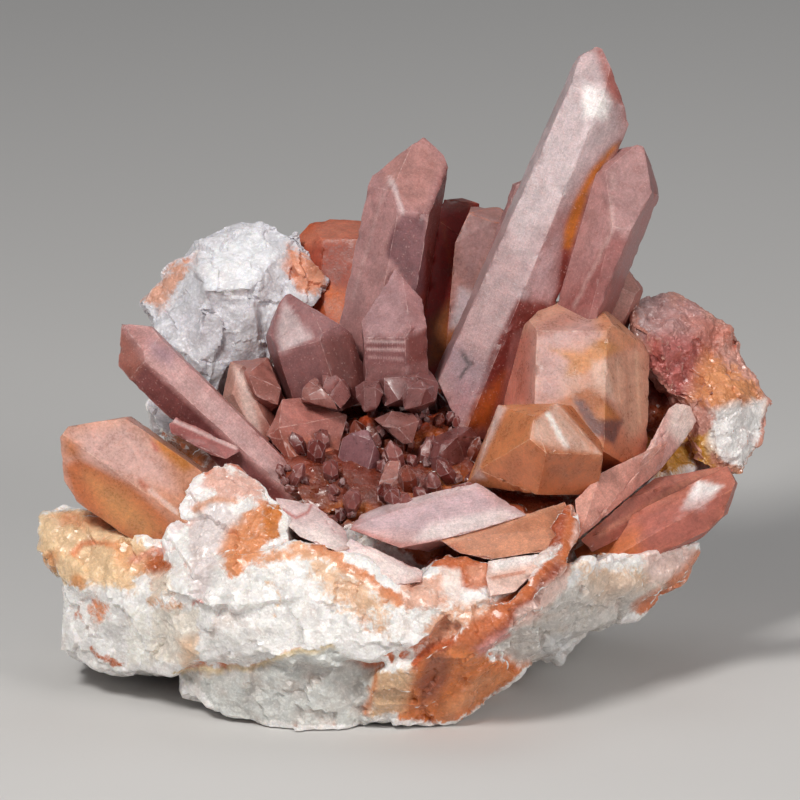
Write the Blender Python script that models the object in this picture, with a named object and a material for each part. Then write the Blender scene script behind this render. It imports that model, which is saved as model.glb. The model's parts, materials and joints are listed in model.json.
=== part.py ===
"""Hematoid quartz cluster: pink, orange and red quartz crystals on milky quartz matrix.

Every crystal is laid out on a front sheet: a point is (across, down, depth), with across and
down in steps of STEP on a sheet 800 steps square, seen from EYE at ELEVATION above the
horizon, and depth in millimetres away from the viewer.
"""

import itertools
import math

import bmesh
import bpy
import numpy as np
from mathutils import Matrix, Vector, noise

# Driving dimensions, in millimetres and degrees.
STEP = 0.12  # one sheet step at depth 0
EYE = 800.0  # distance of the eye from the middle of the sheet
ELEVATION = 15.0  # the eye looks down by this much
MID_HEIGHT = 32.3  # height of the middle of the sheet over the ground
GAP = 0.3  # left round a crystal where a neighbour or the matrix meets it
PYRAMID = 51.8  # angle between the crystal axis and the normal of a tip face
VOXEL = 1.0  # grain of the matrix
MATRIX_FACES = 3400
ROUGHNESS = 0.75  # how far the matrix stands in and out

_E = math.radians(ELEVATION)
RIGHT = np.array([1.0, 0.0, 0.0])
UP = np.array([0.0, math.sin(_E), math.cos(_E)])
TOWARD = np.array([0.0, -math.cos(_E), math.sin(_E)])
MIDDLE = np.array([0.0, 0.0, MID_HEIGHT])


def place(x, y, w):
    """The point in millimetres of (across, down, depth)."""
    k = STEP * (EYE + w) / EYE
    return MIDDLE + (x - 400) * k * RIGHT + (400 - y) * k * UP - w * TOWARD


# ---------------------------------------------------------------- convex solids as planes


def corners(planes):
    """The corners of the solid where n.p <= d holds for every plane (n, d), and its faces."""
    normals = np.array([n for n, _ in planes])
    dists = np.array([d for _, d in planes])
    trios = np.array(list(itertools.combinations(range(len(planes)), 3)))
    mats = normals[trios]
    dets = np.linalg.det(mats)
    keep = np.abs(dets) > 1e-5
    points = np.linalg.solve(mats[keep], dists[trios[keep]][..., None])[..., 0]
    inside = (points @ normals.T <= dists + 1e-6).all(axis=1)
    points = points[inside]
    merged = []
    for point in points:
        if not any(np.abs(point - other).max() < 2e-3 for other in merged):
            merged.append(point)
    merged = np.array(merged)
    faces = []
    for normal, dist in planes:
        on = [i for i, p in enumerate(merged) if abs(p @ normal - dist) < 4e-3]
        if len(on) < 3:
            continue
        centre = merged[on].mean(axis=0)
        u = merged[on[0]] - centre
        u = u - (u @ normal) * normal
        u = u / np.linalg.norm(u)
        v = np.cross(normal, u)
        faces.append(sorted(on, key=lambda i: math.atan2((merged[i] - centre) @ v, (merged[i] - centre) @ u)))
    return merged, faces


def unit(v):
    v = np.asarray(v, float)
    return v / np.linalg.norm(v)


def cut_plane(p1, p2, lean, w):
    """The plane through the sheet line p1-p2 at depth w. It takes off the side left of p1 to
    p2, and its face turns toward the viewer by lean."""
    dx, dy = p2[0] - p1[0], p2[1] - p1[1]
    side = unit(dy * RIGHT + dx * UP)
    q = math.radians(lean)
    normal = math.cos(q) * side + math.sin(q) * TOWARD
    return normal, float(normal @ place((p1[0] + p2[0]) / 2, (p1[1] + p2[1]) / 2, w))


def crystal(root, top, w, tilt, turn, edges, tip=None, shoulders=None, lean=None, thick=1.0, cuts=(), point=True, foot=0.0, pyramid=PYRAMID):
    """The planes of one six-sided crystal.

    root, top: two sheet points of its axis, with the root at depth w. tilt turns the tip
    toward the viewer. turn is the angle of its front face about the axis. edges: how far the
    four visible prism edges lie from the axis, left to right, in steps. shoulders: for a
    visible face (-1, 0, 1), how far its tip face starts above the root, in steps.
    """
    t, beta = math.radians(tilt), math.radians(turn)
    k = STEP * (EYE + w) / EYE
    ax, ay = top[0] - root[0], root[1] - top[1]
    length = math.hypot(ax, ay)
    ax, ay = ax / length, ay / length
    flat = ax * RIGHT + ay * UP
    a = math.cos(t) * flat + math.sin(t) * TOWARD
    r = ay * RIGHT - ax * UP
    f = np.cross(r, a)
    base = place(root[0], root[1], w)

    def local(p):
        dx, dy = p[0] - root[0], root[1] - p[1]
        return (dx * ay - dy * ax) * k, (dx * ax + dy * ay) * k

    o = [float(e) * k for e in edges]
    y1 = 0.0
    y2 = y1 - math.tan(beta) * (o[2] - o[1])
    y0 = y1 + math.tan(beta - math.pi / 3) * (o[1] - o[0])
    y3 = y2 - math.tan(beta + math.pi / 3) * (o[3] - o[2])
    n2 = np.array([math.sin(beta), math.cos(beta)])
    d0 = n2 @ (o[1], y1)
    depth = thick * (o[3] - o[0]) * 0.9
    depth = max(depth, 1.05 * (d0 - n2 @ (o[0], y0)), 1.05 * (d0 - n2 @ (o[3], y3)))
    shift = (depth / 2 + n2[0] * (o[0] + o[3]) / 2 - d0) / n2[1]
    y0, y1, y2, y3 = y0 + shift, y1 + shift, y2 + shift, y3 + shift
    through = {-1: (o[1], y1), 0: (o[1], y1), 1: (o[2], y2), 2: (o[3], y3), -2: (o[0], y0)}
    sides = {}
    for j in (-2, -1, 0, 1, 2, 3):
        angle = beta + j * math.pi / 3
        normal = np.array([math.sin(angle), math.cos(angle)])
        sides[j] = (normal, depth - sides[0][1] if j == 3 else float(normal @ through[j]))
    leans = {j: 0.0 for j in sides}
    leans.update(lean if isinstance(lean, dict) else {j: lean or 0.0 for j in sides})
    planes = []
    top_h = length * k / math.cos(t)
    for j, (normal, dist) in sides.items():
        q = math.radians(leans[j])
        n3 = math.cos(q) * (normal[0] * r + normal[1] * f) + math.sin(q) * a
        planes.append((n3, float(n3 @ (base + (normal[0] * r + normal[1] * f) * dist + a * top_h * 0.55))))
    if point:
        tip = tip or top
        tx, ti = local(tip)
        starts = {}
        for j, s in (shoulders or {}).items():
            normal, dist = sides[j]
            mid = {-1: (o[0] + o[1]) / 2, 0: (o[1] + o[2]) / 2, 1: (o[2] + o[3]) / 2}.get(j, 0.0)
            y = (dist - normal[0] * mid) / normal[1] if abs(normal[1]) > 0.2 else 0.0
            starts[j] = (s * k + y * math.sin(t)) / math.cos(t)
        steep = {j: math.radians(pyramid.get(j, PYRAMID) if isinstance(pyramid, dict) else pyramid) for j in sides}
        guesses = []
        ty = 0.0
        for _ in range(4):
            th = (ti + ty * math.sin(t)) / math.cos(t)
            guesses = [
                (sides[j][1] - (th - h) / math.tan(steep[j]) - sides[j][0][0] * tx) / sides[j][0][1]
                for j, h in starts.items()
                if abs(sides[j][0][1]) > 0.6
            ]
            ty = sum(guesses) / len(guesses) if guesses else 0.0
        th = (ti + ty * math.sin(t)) / math.cos(t)
        apex = base + tx * r + ty * f + th * a
        for j, (normal, dist) in sides.items():
            n3 = math.sin(steep[j]) * (normal[0] * r + normal[1] * f) + math.cos(steep[j]) * a
            if j in starts:
                at = base + (normal[0] * r + normal[1] * f) * dist + starts[j] * a
            else:
                at = apex
            planes.append((n3, float(n3 @ at)))
    else:
        planes.append((a, float(a @ (base + top_h * a))))
    if foot:
        q = math.radians(foot)
        for j, (normal, dist) in sides.items():
            n3 = math.sin(q) * (normal[0] * r + normal[1] * f) - math.cos(q) * a
            planes.append((n3, float(n3 @ base)))
    else:
        planes.append((-a, float(-a @ base)))
    for p1, p2, q, cw in cuts:
        planes.append(cut_plane(p1, p2, q, cw))
    return planes


def hull(points):
    """The planes of the convex hull of sheet points."""
    bm = bmesh.new()
    for p in points:
        bm.verts.new(place(*p))
    bmesh.ops.convex_hull(bm, input=bm.verts)
    bm.normal_update()
    centre = np.mean([place(*p) for p in points], axis=0)
    planes = []
    for face in bm.faces:
        n = unit(face.normal)
        d = float(n @ np.array(face.verts[0].co))
        if n @ centre > d:
            n, d = -n, -d
        if not any(n @ m > 0.99995 and abs(d - e) < 0.02 for m, e in planes):
            planes.append((n, d))
    bm.free()
    return planes


def grown(planes, by):
    return [(n, d + by) for n, d in planes]


# ---------------------------------------------------------------- the crystals

GROUPS = {
    "tall_crystal": [
        crystal((463, 432), (608, 78), 3, 0, -22, (-43, -37, 2, 37), tip=(600, 41), shoulders={-1: 385, 0: 360, 1: 361},
                lean={-1: 1.7, -2: 1.7, 3: 0.5}, cuts=[((459, 428), (438, 382), 0, 3)], pyramid={0: 57.0, 1: 55.0, 2: 50.0}, thick=1.15),
        crystal((470, 330), (523, 182), 7, 0, -10, (-9, -5, 6, 12), tip=(531, 174)),
    ],
    "right_tall_crystal": [
        crystal((588, 322), (632, 158), 0.5, 0, 14, (-38, -2, 16, 32), tip=(645, 143), shoulders={0: 98, -1: 152, -2: 116, 1: 151, 2: 154, 3: 148},
                lean={-2: -2, -1: -2, 0: -2, 1: -6, 2: -6, 3: -2}, thick=1.1, pyramid={-1: 47.0, 0: 66.0, 1: 62.0, 2: 68.0, 3: 50.0, -2: 72.0}),
    ],
    "centre_crystals": [
        crystal((370, 395), (412, 170), 7, 3, 15, (-42, -6, 26, 38), tip=(426, 134), shoulders={-1: 202, 0: 185, 1: 248}, lean=1.0),
        crystal((393, 392), (389, 275), 1, 5, -22, (-29, -27, 14, 36), tip=(388, 261), shoulders={0: 54, 1: 62, -1: 76}, thick=1.3),
    ],
    "left_centre_crystal": [
        crystal((325, 410), (290, 300), 2, 8, -20, (-36, -27, 17, 50), tip=(285, 290), shoulders={0: 68, 1: 75}),
    ],
    "long_blade_crystal": [
        crystal((312, 505), (133, 329), -8, -5, 25, (-38, -11, 13, 15), tip=(119, 323), shoulders={-1: 226, 0: 230, -2: 237}, lean={-1: -4, 0: -2}, pyramid={-2: 42.0}),
    ],
    "left_orange_crystal": [
        crystal((190, 520), (66, 432), -12, 0, 27, (-50, -2, 47, 50), point=False,
                cuts=[((66, 500), (63, 430), -4, -14), ((77, 504), (65, 482), -6, -15), ((66, 427), (130, 416), 0, -14)]),
    ],
    "right_stubby_pair": [
        crystal((573, 478), (580, 300), -5, -24, -6, (-72, -42, 28, 74), tip=(596, 300), shoulders={-2: 140, -1: 149, 0: 147, 1: 145, 2: 130}),
        hull([(498, 405, -11.5), (534, 416, -18.3), (557, 403, -14.5), (603, 455, -16), (599, 495, -12.3), (537, 495, -16.5), (478, 470, -13), (466, 484, -10),
              (530, 439, -19.5), (546, 453, -20), (490, 470, 0), (600, 480, 0), (600, 410, 0), (500, 410, 0)]),
    ],
    "white_block": [
        hull([(140, 303, 12), (162, 278, 12), (172, 260, 13), (192, 255, 13), (215, 300, 6), (200, 362, 6), (226, 368, 7), (164, 340, 8), (150, 312, 22), (190, 260, 25),
              (190, 380, 22), (230, 400, 22), (215, 400, 8)]),
        hull([(190, 262, 13), (194, 242, 14), (222, 229, 15), (264, 219, 15), (290, 239, 14), (258, 364, 8), (226, 368, 7), (200, 340, 6), (205, 290, 5), (252, 290, 6),
              (200, 250, 26), (255, 240, 27), (282, 262, 24), (255, 400, 22), (200, 400, 22)]),
        hull([(266, 242, 13), (283, 238, 13), (297, 231, 13), (311, 252, 13), (324, 280, 12), (320, 296, 11), (264, 366, 9), (250, 300, 8), (290, 250, 22), (312, 282, 20), (262, 380, 20)]),
    ],
    "back_left_crystal": [
        hull([(286, 250, 16), (310, 223, 17), (330, 219, 18), (366, 221, 17), (368, 238, 12), (322, 239, 13), (308, 250, 14), (346, 296, 12.5), (338, 318, 12),
              (322, 300, 12), (350, 400, 10), (300, 390, 14), (300, 240, 26), (360, 225, 26), (350, 380, 22), (300, 380, 22)]),
    ],
    "back_crystals": [
        hull([(469, 213, 10), (494, 222, 10), (510, 224, 10.5), (455, 243, 9.2), (459, 285, 9), (470, 298, 9), (500, 290, 9.5), (448, 330, 9), (445, 360, 8), (480, 350, 9),
              (471, 207, 13), (500, 206, 13.5), (512, 212, 15), (462, 250, 18), (505, 250, 20), (450, 360, 16), (490, 350, 18)]),
        hull([(444, 199, 15), (462, 198, 16), (480, 203, 16), (438, 220, 13), (426, 262, 12), (420, 320, 10), (418, 372, 8), (458, 300, 11), (466, 240, 13), (450, 362, 9),
              (446, 202, 22), (478, 206, 23), (430, 376, 18), (470, 340, 20), (446, 388, 8)]),
    ],
    "left_small_crystals": [
        crystal((268, 440), (233, 378), -1, 4, 8, (-21, -8, 9, 17), tip=(230, 361), shoulders={-1: 58, 0: 70}),
        hull([(232, 361, 2), (268, 357, 1), (281, 389, -2), (278, 405, -3), (257, 397, -4), (248, 373, -3), (240, 372, -2), (245, 370, 8), (278, 372, 8), (285, 410, 5), (255, 425, 4)]),
    ],
    "pink_stubby_crystal": [
        hull([(282, 399, -3), (300, 398, -2.5), (347, 415, -3), (337, 458, -6), (318, 455, -7), (300, 462, -8), (291, 463, -8), (283, 440, -8), (266, 436, -6), (279, 428, -7.5),
              (285, 405, 4), (340, 420, 4), (335, 460, 2), (280, 450, 2)]),
    ],
    "left_plate_crystal": [
        hull([(169, 424, -13), (176, 417, -12), (236, 446, -10.5), (240, 451, -10.5), (226, 459, -11.5), (212, 455, -12), (171, 433, -13.5),
              (172, 425, -9), (238, 450, -7), (226, 459, -7), (176, 434, -9)]),
    ],
    "druse_prism": [
        crystal((352, 506), (370, 434), -4, 12, -24, (-27, -25, 7, 20), tip=(366, 424), shoulders={0: 70, 1: 76, -1: 72}),
    ],
    "druse_right_crystal": [
        hull([(420, 462, -5), (428, 440, -4), (458, 426, -3), (471, 427, -3), (478, 437, -3.5), (470, 471, -6), (436, 480, -8), (438, 456, -9.5), (441, 444, -9),
              (457, 437, -8), (425, 470, 3), (475, 470, 3), (470, 432, 3), (435, 440, 3)]),
    ],
    "druse_centre_crystals": [
        hull([(372, 381, -2), (400, 367, -1), (426, 366, -1), (439, 382, -2), (416, 376, -5), (384, 378, -5), (399, 400, -6), (385, 406, -5), (436, 400, -3), (380, 400, 4), (435, 410, 4), (425, 370, 4), (385, 374, 4)]),
        hull([(355, 387, -4), (363, 381, -4), (379, 380, -4.5), (384, 394, -6), (376, 410, -6), (364, 412, -6), (356, 398, -5), (364, 388, -7), (375, 387, -7), (360, 390, 2), (380, 390, 2), (372, 412, 1)]),
        hull([(402, 395, -6), (406, 382, -5.5), (420, 379, -5), (434, 386, -4.5), (420, 406, -7), (404, 410, -7), (426, 389, -7.5), (408, 388, -8), (436, 400, -4), (405, 400, 2), (435, 400, 2), (420, 415, 2)]),
    ],
    "druse_front_crystal": [
        hull([(374, 419, -6), (392, 411, -5.5), (412, 413, -5.5), (419, 421, -6.5), (398, 428, -9), (382, 426, -9), (412, 443, -8), (403, 444, -8), (380, 420, 0), (415, 425, 0), (405, 448, 0)]),
    ],
    "druse_upper_left_crystal": [
        hull([(322, 371, -3), (330, 370, -3), (341, 379, -4), (322, 388, -6), (346, 380, -3), (352, 395, -4), (341, 409, -6), (329, 396, -6.5), (325, 380, 3), (348, 390, 3), (338, 412, 1)]),
    ],
    "druse_left_crystal": [
        hull([(309, 381, -5), (316, 376, -4), (322, 388, -6.5), (332, 398, -7), (338, 410, -6.5), (300, 400, -6), (303, 388, -5.5), (315, 385, 1), (335, 405, 1), (305, 405, 1)]),
    ],
    "druse_low_left_crystal": [
        hull([(311, 501, -11), (318, 491, -10), (328, 487, -9.5), (346, 490, -10), (354, 501, -11), (351, 509, -12.5), (334, 500, -14), (330, 491, -13), (315, 506, -12), (318, 510, -5), (350, 512, -5), (335, 496, -3)]),
    ],
    "druse_tiny_crystal": [
        hull([(323, 517, -13), (333, 511, -12.5), (339, 514, -13), (338, 522, -14), (330, 524, -14), (333, 516, -15), (328, 522, -8), (338, 520, -8), (332, 513, -8)]),
    ],
    "druse_column": [
        hull([(385, 465, -9), (392, 457, -8.5), (400, 460, -9), (402, 478, -10), (398, 476, -11), (404, 500, -12), (377, 503, -13), (379, 482, -11.5), (390, 462, -3), (400, 480, -3), (385, 505, -5)]),
    ],
    "druse_low_right_crystal": [
        hull([(409, 476, -9), (417, 470, -8.5), (425, 471, -8.5), (434, 477, -9), (431, 486, -10.5), (421, 479, -11.5), (415, 497, -12), (411, 485, -11), (420, 478, -4), (432, 484, -4), (416, 500, -6)]),
    ],
    "right_back_crystal": [
        crystal((607, 330), (627, 282), 6, 0, 5, (-20, -12, 12, 20), tip=(628, 266), shoulders={1: 50}, pyramid={1: 34.0, 2: 34.0}),
    ],
    "red_crusted_block": [
        hull([(635, 297, 6), (645, 293, 7), (662, 297, 8), (676, 293, 9), (695, 301, 9), (716, 312, 9), (718, 345, 7), (702, 372, 4), (690, 400, 3), (676, 404, 2), (660, 390, 2), (646, 364, 2),
              (638, 338, 2), (626, 321, 3), (660, 340, -1.5), (690, 345, 1.5), (650, 300, 20), (700, 320, 22), (680, 410, 18), (650, 400, 18)]),
        hull([(712, 313, 9), (734, 320, 9), (743, 340, 9), (738, 352, 8), (720, 380, 5), (700, 372, 4), (720, 330, 20), (735, 350, 18)]),
        hull([(706, 350, 8), (736, 350, 8), (745, 365, 8), (761, 385, 8), (775, 403, 7), (764, 440, 5), (744, 474, 3), (712, 472, 1), (690, 462, 1), (676, 430, 2), (689, 398, 1.5), (702, 372, 2.5),
              (720, 400, -0.5), (715, 345, 22), (750, 390, 22), (745, 450, 18), (700, 460, 16)]),
    ],
    "curved_blade_crystal": [
        hull([(678, 402, 0), (690, 406, 1), (697, 421, 1.5), (690, 433, 0), (660, 470, -6), (640, 482, -8.5), (640, 462, -9), (652, 450, -7), (668, 409, -2), (690, 428, 5), (660, 470, 0), (645, 485, -3)]),
        hull([(652, 450, -7), (668, 440, -5), (660, 470, -6), (626, 490, -11), (578, 540, -18), (575, 500, -15), (602, 472, -13), (640, 480, -3), (600, 515, -8), (580, 510, -8)]),
    ],
    "right_rear_prism": [
        hull([(580, 540, -16), (626, 500, -10), (655, 478, -5), (700, 470, -1), (722, 466, 1), (735, 470, 2), (695, 500, -3), (600, 545, -13), (592, 552, -14), (650, 500, 2), (725, 480, 8), (600, 550, -4)]),
    ],
    "right_front_prism": [
        crystal((582, 566), (738, 487), -9, 4, 22, (-24, 2, 24, 30), point=False,
                cuts=[((749, 462), (734, 503), 6, 0), ((735, 507), (701, 540), 4, -3)], lean={-1: -3}),
    ],
    "front_slab": [
        hull([(361, 514, -15), (380, 506, -14.5), (404, 501, -14.2), (476, 481, -12.5), (527, 515, -17.5), (478, 530, -20.5), (436, 541, -21.5), (400, 548, -22), (348, 529, -19.5),
              (375, 535, -12), (480, 520, -9), (430, 552, -15)]),
        hull([(440, 540, -21.2), (527, 516, -17.4), (565, 502, -15.2), (573, 527, -20), (556, 549, -22.8), (492, 559, -23.6), (460, 553, -23), (480, 560, -14), (560, 545, -12), (555, 515, -9)]),
    ],
    "front_left_slab": [
        hull([(275, 497, -16), (300, 502, -16), (314, 504, -16.5), (330, 523, -18.5), (346, 530, -19.8), (350, 549, -24), (338, 552, -24.5), (300, 537, -23), (282, 520, -20), (290, 515, -12), (340, 545, -14)]),
        hull([(340, 552, -24.3), (350, 538, -22.5), (376, 549, -23), (400, 561, -24), (424, 571, -24.5), (421, 582, -26.5), (393, 586, -27), (362, 569, -26), (360, 560, -16), (410, 580, -17)]),
    ],
    "front_step_slab": [
        hull([(488, 561, -24.2), (556, 551, -23.4), (541, 566, -25), (515, 592, -27), (490, 597, -27), (486, 578, -26), (495, 575, -16), (540, 562, -15)]),
    ],
}

# The lumps that the matrix grows from, as sheet points.
LUMPS = {
    "lower": [(178, 672, -12), (190, 696, -15), (205, 706, -17), (219, 717, -18), (255, 723, -19), (295, 738, -20), (336, 738, -20), (368, 721, -20), (376, 668, -23),
              (326, 649, -24), (262, 658, -23), (200, 670, -18), (200, 672, 5), (300, 712, 8), (370, 700, 8)],
    "front": [(150, 670, -14), (180, 668, -19), (262, 656, -25.5), (330, 646, -27), (380, 662, -27), (430, 640, -28.5), (450, 610, -28.5), (400, 588, -27.5), (340, 556, -25.5), (300, 540, -24.5),
              (220, 560, -25), (165, 590, -22), (140, 600, -17), (160, 640, 0), (300, 640, 0), (420, 620, 0), (200, 560, -5), (420, 560, -8)],
    "mound": [(163, 540, -19), (172, 515, -18), (195, 480, -17), (212, 464, -16), (230, 460, -15.5), (262, 480, -16), (278, 508, -19), (300, 545, -24), (290, 600, -27), (210, 610, -26), (160, 590, -22),
              (180, 510, -6), (260, 490, -5), (170, 580, -4), (280, 580, -6)],
    "left_top": [(35, 516, -8), (40, 511, -6), (68, 508, -5), (80, 508, -7), (110, 532, -11), (146, 552, -14), (170, 548, -17), (160, 590, -19), (100, 600, -15), (60, 580, -11), (48, 570, -9), (37, 553, -8),
                 (50, 515, 6), (100, 525, 8), (160, 540, 4), (70, 575, 6)],
    "left_low": [(60, 575, -9), (66, 603, -9), (64, 618, -9), (68, 639, -9), (64, 652, -8), (80, 665, -9), (106, 672, -11), (154, 676, -14), (180, 672, -18), (180, 590, -20), (110, 590, -16),
                 (80, 600, 8), (80, 650, 8), (160, 665, 8), (180, 580, 6)],
    "vein_top": [(567, 503, -19), (576, 503, -19), (577, 540, -22), (562, 573, -25.5), (540, 602, -27.5), (505, 628, -28.5), (518, 592, -27.5), (554, 549, -24), (540, 580, -14), (570, 520, -10), (510, 600, -14)],
    "vein_mid": [(520, 590, -27.5), (542, 600, -27.5), (508, 630, -28), (470, 662, -27.5), (440, 668, -27.5), (425, 655, -28.5), (480, 618, -28.5), (500, 600, -14), (450, 650, -14), (490, 640, -14)],
    "vein_low": [(412, 668, -27.5), (440, 648, -28), (480, 655, -26), (528, 667, -14), (508, 682, -15), (484, 700, -17), (457, 722, -18), (400, 722, -20), (370, 720, -21), (364, 700, -23), (372, 672, -25),
                 (400, 690, 4), (500, 660, 2), (450, 700, 2)],
    "steps": [(395, 586, -27), (425, 574, -25), (440, 560, -23.5), (470, 556, -23.5), (491, 560, -24), (492, 596, -27), (470, 625, -28.5), (420, 610, -28.5), (430, 560, -12), (480, 570, -12), (440, 610, -12)],
    "right_front": [(540, 600, -25), (566, 565, -23), (600, 560, -18), (640, 564, -14), (703, 541, -7), (705, 552, -6), (694, 572, -7), (658, 588, -10), (595, 632, -12), (540, 638, -14), (528, 666, -12), (490, 664, -19), (508, 625, -25),
                    (560, 570, -5), (680, 545, 6), (640, 590, 4), (540, 650, 4)],
    "right_low": [(600, 600, -10), (650, 590, -7), (680, 580, -3), (697, 562, 0), (660, 598, 0), (651, 611, -3), (630, 617, -5), (595, 634, -8), (600, 600, 10), (650, 590, 12), (690, 550, 10)],
    "behind_vein": [(366, 660, -23.5), (400, 630, -26.5), (440, 620, -27), (480, 600, -26), (512, 594, -25.5), (540, 575, -23), (500, 640, -25.5), (470, 664, -25), (425, 680, -23.5), (380, 676, -23),
                    (480, 570, -21), (420, 570, -22), (400, 600, -8), (480, 640, -8), (440, 560, -8), (400, 680, -6), (530, 580, -10)],
    "left_rear": [(147, 404, 9), (149, 422, 7), (158, 436, 5), (178, 446, 2), (206, 452, 2), (205, 400, 14), (165, 400, 12), (160, 402, 20), (165, 434, 18), (205, 440, 18)],
    "right_rear": [(628, 366, 7), (672, 386, 8), (690, 410, 6), (716, 446, 5), (714, 476, 4), (650, 480, 4), (634, 440, 4), (690, 405, 18), (700, 470, 16), (634, 380, 18), (650, 470, 16)],
    "prong": [(537, 636, -13), (590, 634, -9), (577, 651, -8), (564, 667, -8), (553, 667, -8), (537, 656, -10), (560, 630, 0), (560, 655, -1)],
    "body": [(170, 560, -14), (300, 525, -14), (420, 520, -14), (560, 520, -12), (640, 530, -8), (700, 500, 0), (200, 440, 2), (300, 430, 4), (400, 425, 4), (480, 425, 4), (640, 425, 3), (700, 440, 4),
             (190, 385, 20), (330, 385, 24), (500, 385, 24), (680, 400, 20), (230, 690, -8), (300, 712, -4), (450, 700, -6), (535, 650, -4), (640, 600, 0),
             (120, 600, 14), (180, 626, 17), (300, 621, 24), (450, 621, 24), (575, 622, 18), (660, 570, 15), (100, 540, 4)],
    "druse_bed": [(280, 450, -6), (340, 420, -2), (400, 410, 0), (450, 420, 0), (480, 470, -8), (450, 500, -12), (380, 515, -14), (310, 510, -14), (280, 480, -12), (300, 500, 5), (460, 480, 5), (380, 430, 8)],
}

# Broken blocks, which are rough inside their outline: grain, faces, roughness, fullness.
ROUGH = {"white_block": (0.8, 620, 0.8, 0.55), "red_crusted_block": (0.8, 760, 1.0, 0.25)}

# The mean colour of each solid, 0 to 255 as seen, and its roughness.
COLOURS = {
    "tall_crystal": (205, 158, 148, 0.42),
    "right_tall_crystal": (176, 122, 116, 0.40),
    "centre_crystals": (168, 114, 108, 0.38),
    "left_centre_crystal": (150, 96, 88, 0.36),
    "long_blade_crystal": (188, 128, 118, 0.40),
    "left_orange_crystal": (216, 152, 118, 0.38),
    "right_stubby_pair": (196, 128, 94, 0.36),
    "white_block": (208, 204, 204, 0.60),
    "back_left_crystal": (186, 82, 46, 0.32),
    "back_crystals": (150, 78, 68, 0.36),
    "left_small_crystals": (166, 106, 92, 0.38),
    "pink_stubby_crystal": (190, 116, 100, 0.36),
    "left_plate_crystal": (166, 98, 92, 0.40),
    "druse_prism": (142, 90, 86, 0.34),
    "druse_right_crystal": (128, 80, 76, 0.34),
    "druse_centre_crystals": (138, 88, 84, 0.34),
    "druse_front_crystal": (146, 92, 84, 0.34),
    "druse_upper_left_crystal": (140, 84, 80, 0.34),
    "druse_left_crystal": (150, 90, 82, 0.34),
    "druse_low_left_crystal": (158, 98, 92, 0.36),
    "druse_tiny_crystal": (160, 100, 90, 0.36),
    "druse_column": (168, 108, 96, 0.36),
    "druse_low_right_crystal": (150, 88, 80, 0.36),
    "right_back_crystal": (188, 142, 132, 0.40),
    "red_crusted_block": (196, 136, 116, 0.62),
    "curved_blade_crystal": (206, 148, 132, 0.40),
    "right_rear_prism": (162, 88, 62, 0.46),
    "right_front_prism": (178, 92, 70, 0.36),
    "front_slab": (212, 158, 142, 0.38),
    "front_left_slab": (226, 182, 168, 0.42),
    "front_step_slab": (228, 188, 172, 0.42),
    "matrix": (226, 208, 190, 0.60),
}


# ---------------------------------------------------------------- building


def clear():
    for obj in list(bpy.data.objects):
        bpy.data.objects.remove(obj)


def link(name, mesh):
    obj = bpy.data.objects.new(name, mesh)
    bpy.context.scene.collection.objects.link(obj)
    return obj


def mesh_object(name, planes):
    points, _ = corners(planes)
    bm = bmesh.new()
    for p in points:
        bm.verts.new(tuple(p))
    made = bmesh.ops.convex_hull(bm, input=bm.verts)
    loose = [v for v in bm.verts if not v.link_faces]
    bmesh.ops.delete(bm, geom=loose, context="VERTS")
    bmesh.ops.dissolve_limit(bm, angle_limit=math.radians(0.6), verts=bm.verts, edges=bm.edges)
    bmesh.ops.recalc_face_normals(bm, faces=bm.faces)
    mesh = bpy.data.meshes.new(name)
    bm.to_mesh(mesh)
    bm.free()
    return link(name, mesh)


def settle(obj):
    """Puts the modifiers of obj into its mesh."""
    graph = bpy.context.evaluated_depsgraph_get()
    mesh = bpy.data.meshes.new_from_object(obj.evaluated_get(graph))
    obj.modifiers.clear()
    obj.data = mesh


def boolean(obj, other, operation):
    """Joins or cuts obj by other, and leaves other as it was."""
    modifier = obj.modifiers.new("step", "BOOLEAN")
    modifier.operation = operation
    modifier.solver = "EXACT"
    modifier.object = other
    settle(obj)


def box_of(obj):
    points = np.array([v.co for v in obj.data.vertices])
    return points.min(axis=0), points.max(axis=0)


def near(a, b):
    (lo_a, hi_a), (lo_b, hi_b) = box_of(a), box_of(b)
    return bool((lo_a < hi_b).all() and (lo_b < hi_a).all())


def volumes(obj):
    """Keeps only the largest body of obj."""
    bm = bmesh.new()
    bm.from_mesh(obj.data)
    bm.verts.ensure_lookup_table()
    seen, bodies = set(), []
    for vert in bm.verts:
        if vert.index in seen:
            continue
        stack, body = [vert], []
        seen.add(vert.index)
        while stack:
            v = stack.pop()
            body.append(v)
            for edge in v.link_edges:
                w = edge.other_vert(v)
                if w.index not in seen:
                    seen.add(w.index)
                    stack.append(w)
        lo = np.min([v.co for v in body], axis=0)
        hi = np.max([v.co for v in body], axis=0)
        bodies.append((float(np.prod(hi - lo)), len(bodies), body))
    bodies.sort(reverse=True)
    for _, _, body in bodies[1:]:
        bmesh.ops.delete(bm, geom=body, context="VERTS")
    bm.to_mesh(obj.data)
    bm.free()
    return len(bodies)


def linear(c):
    """A channel from 0 to 255 as the linear value that a shader takes."""
    c = c / 255
    return c / 12.92 if c <= 0.04045 else ((c + 0.055) / 1.055) ** 2.4


def material(name, colour, roughness):
    mat = bpy.data.materials.new(name)
    mat.use_nodes = True
    shader = mat.node_tree.nodes["Principled BSDF"]
    shader.inputs["Base Color"].default_value = (*colour, 1)
    shader.inputs["Roughness"].default_value = roughness
    return mat


def shake(p, scale):
    """How far the rock stands out at p, from about -1 to 1."""
    big = noise.noise(p * 0.16) * 1.3
    cells = noise.voronoi(p * 0.22)[0]
    chip = (cells[1] - cells[0]) * 1.1 - 0.45
    small = noise.noise(p * 0.55 + Vector((31, 7, 3))) * 0.45
    return (big + chip + small) * scale


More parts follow.
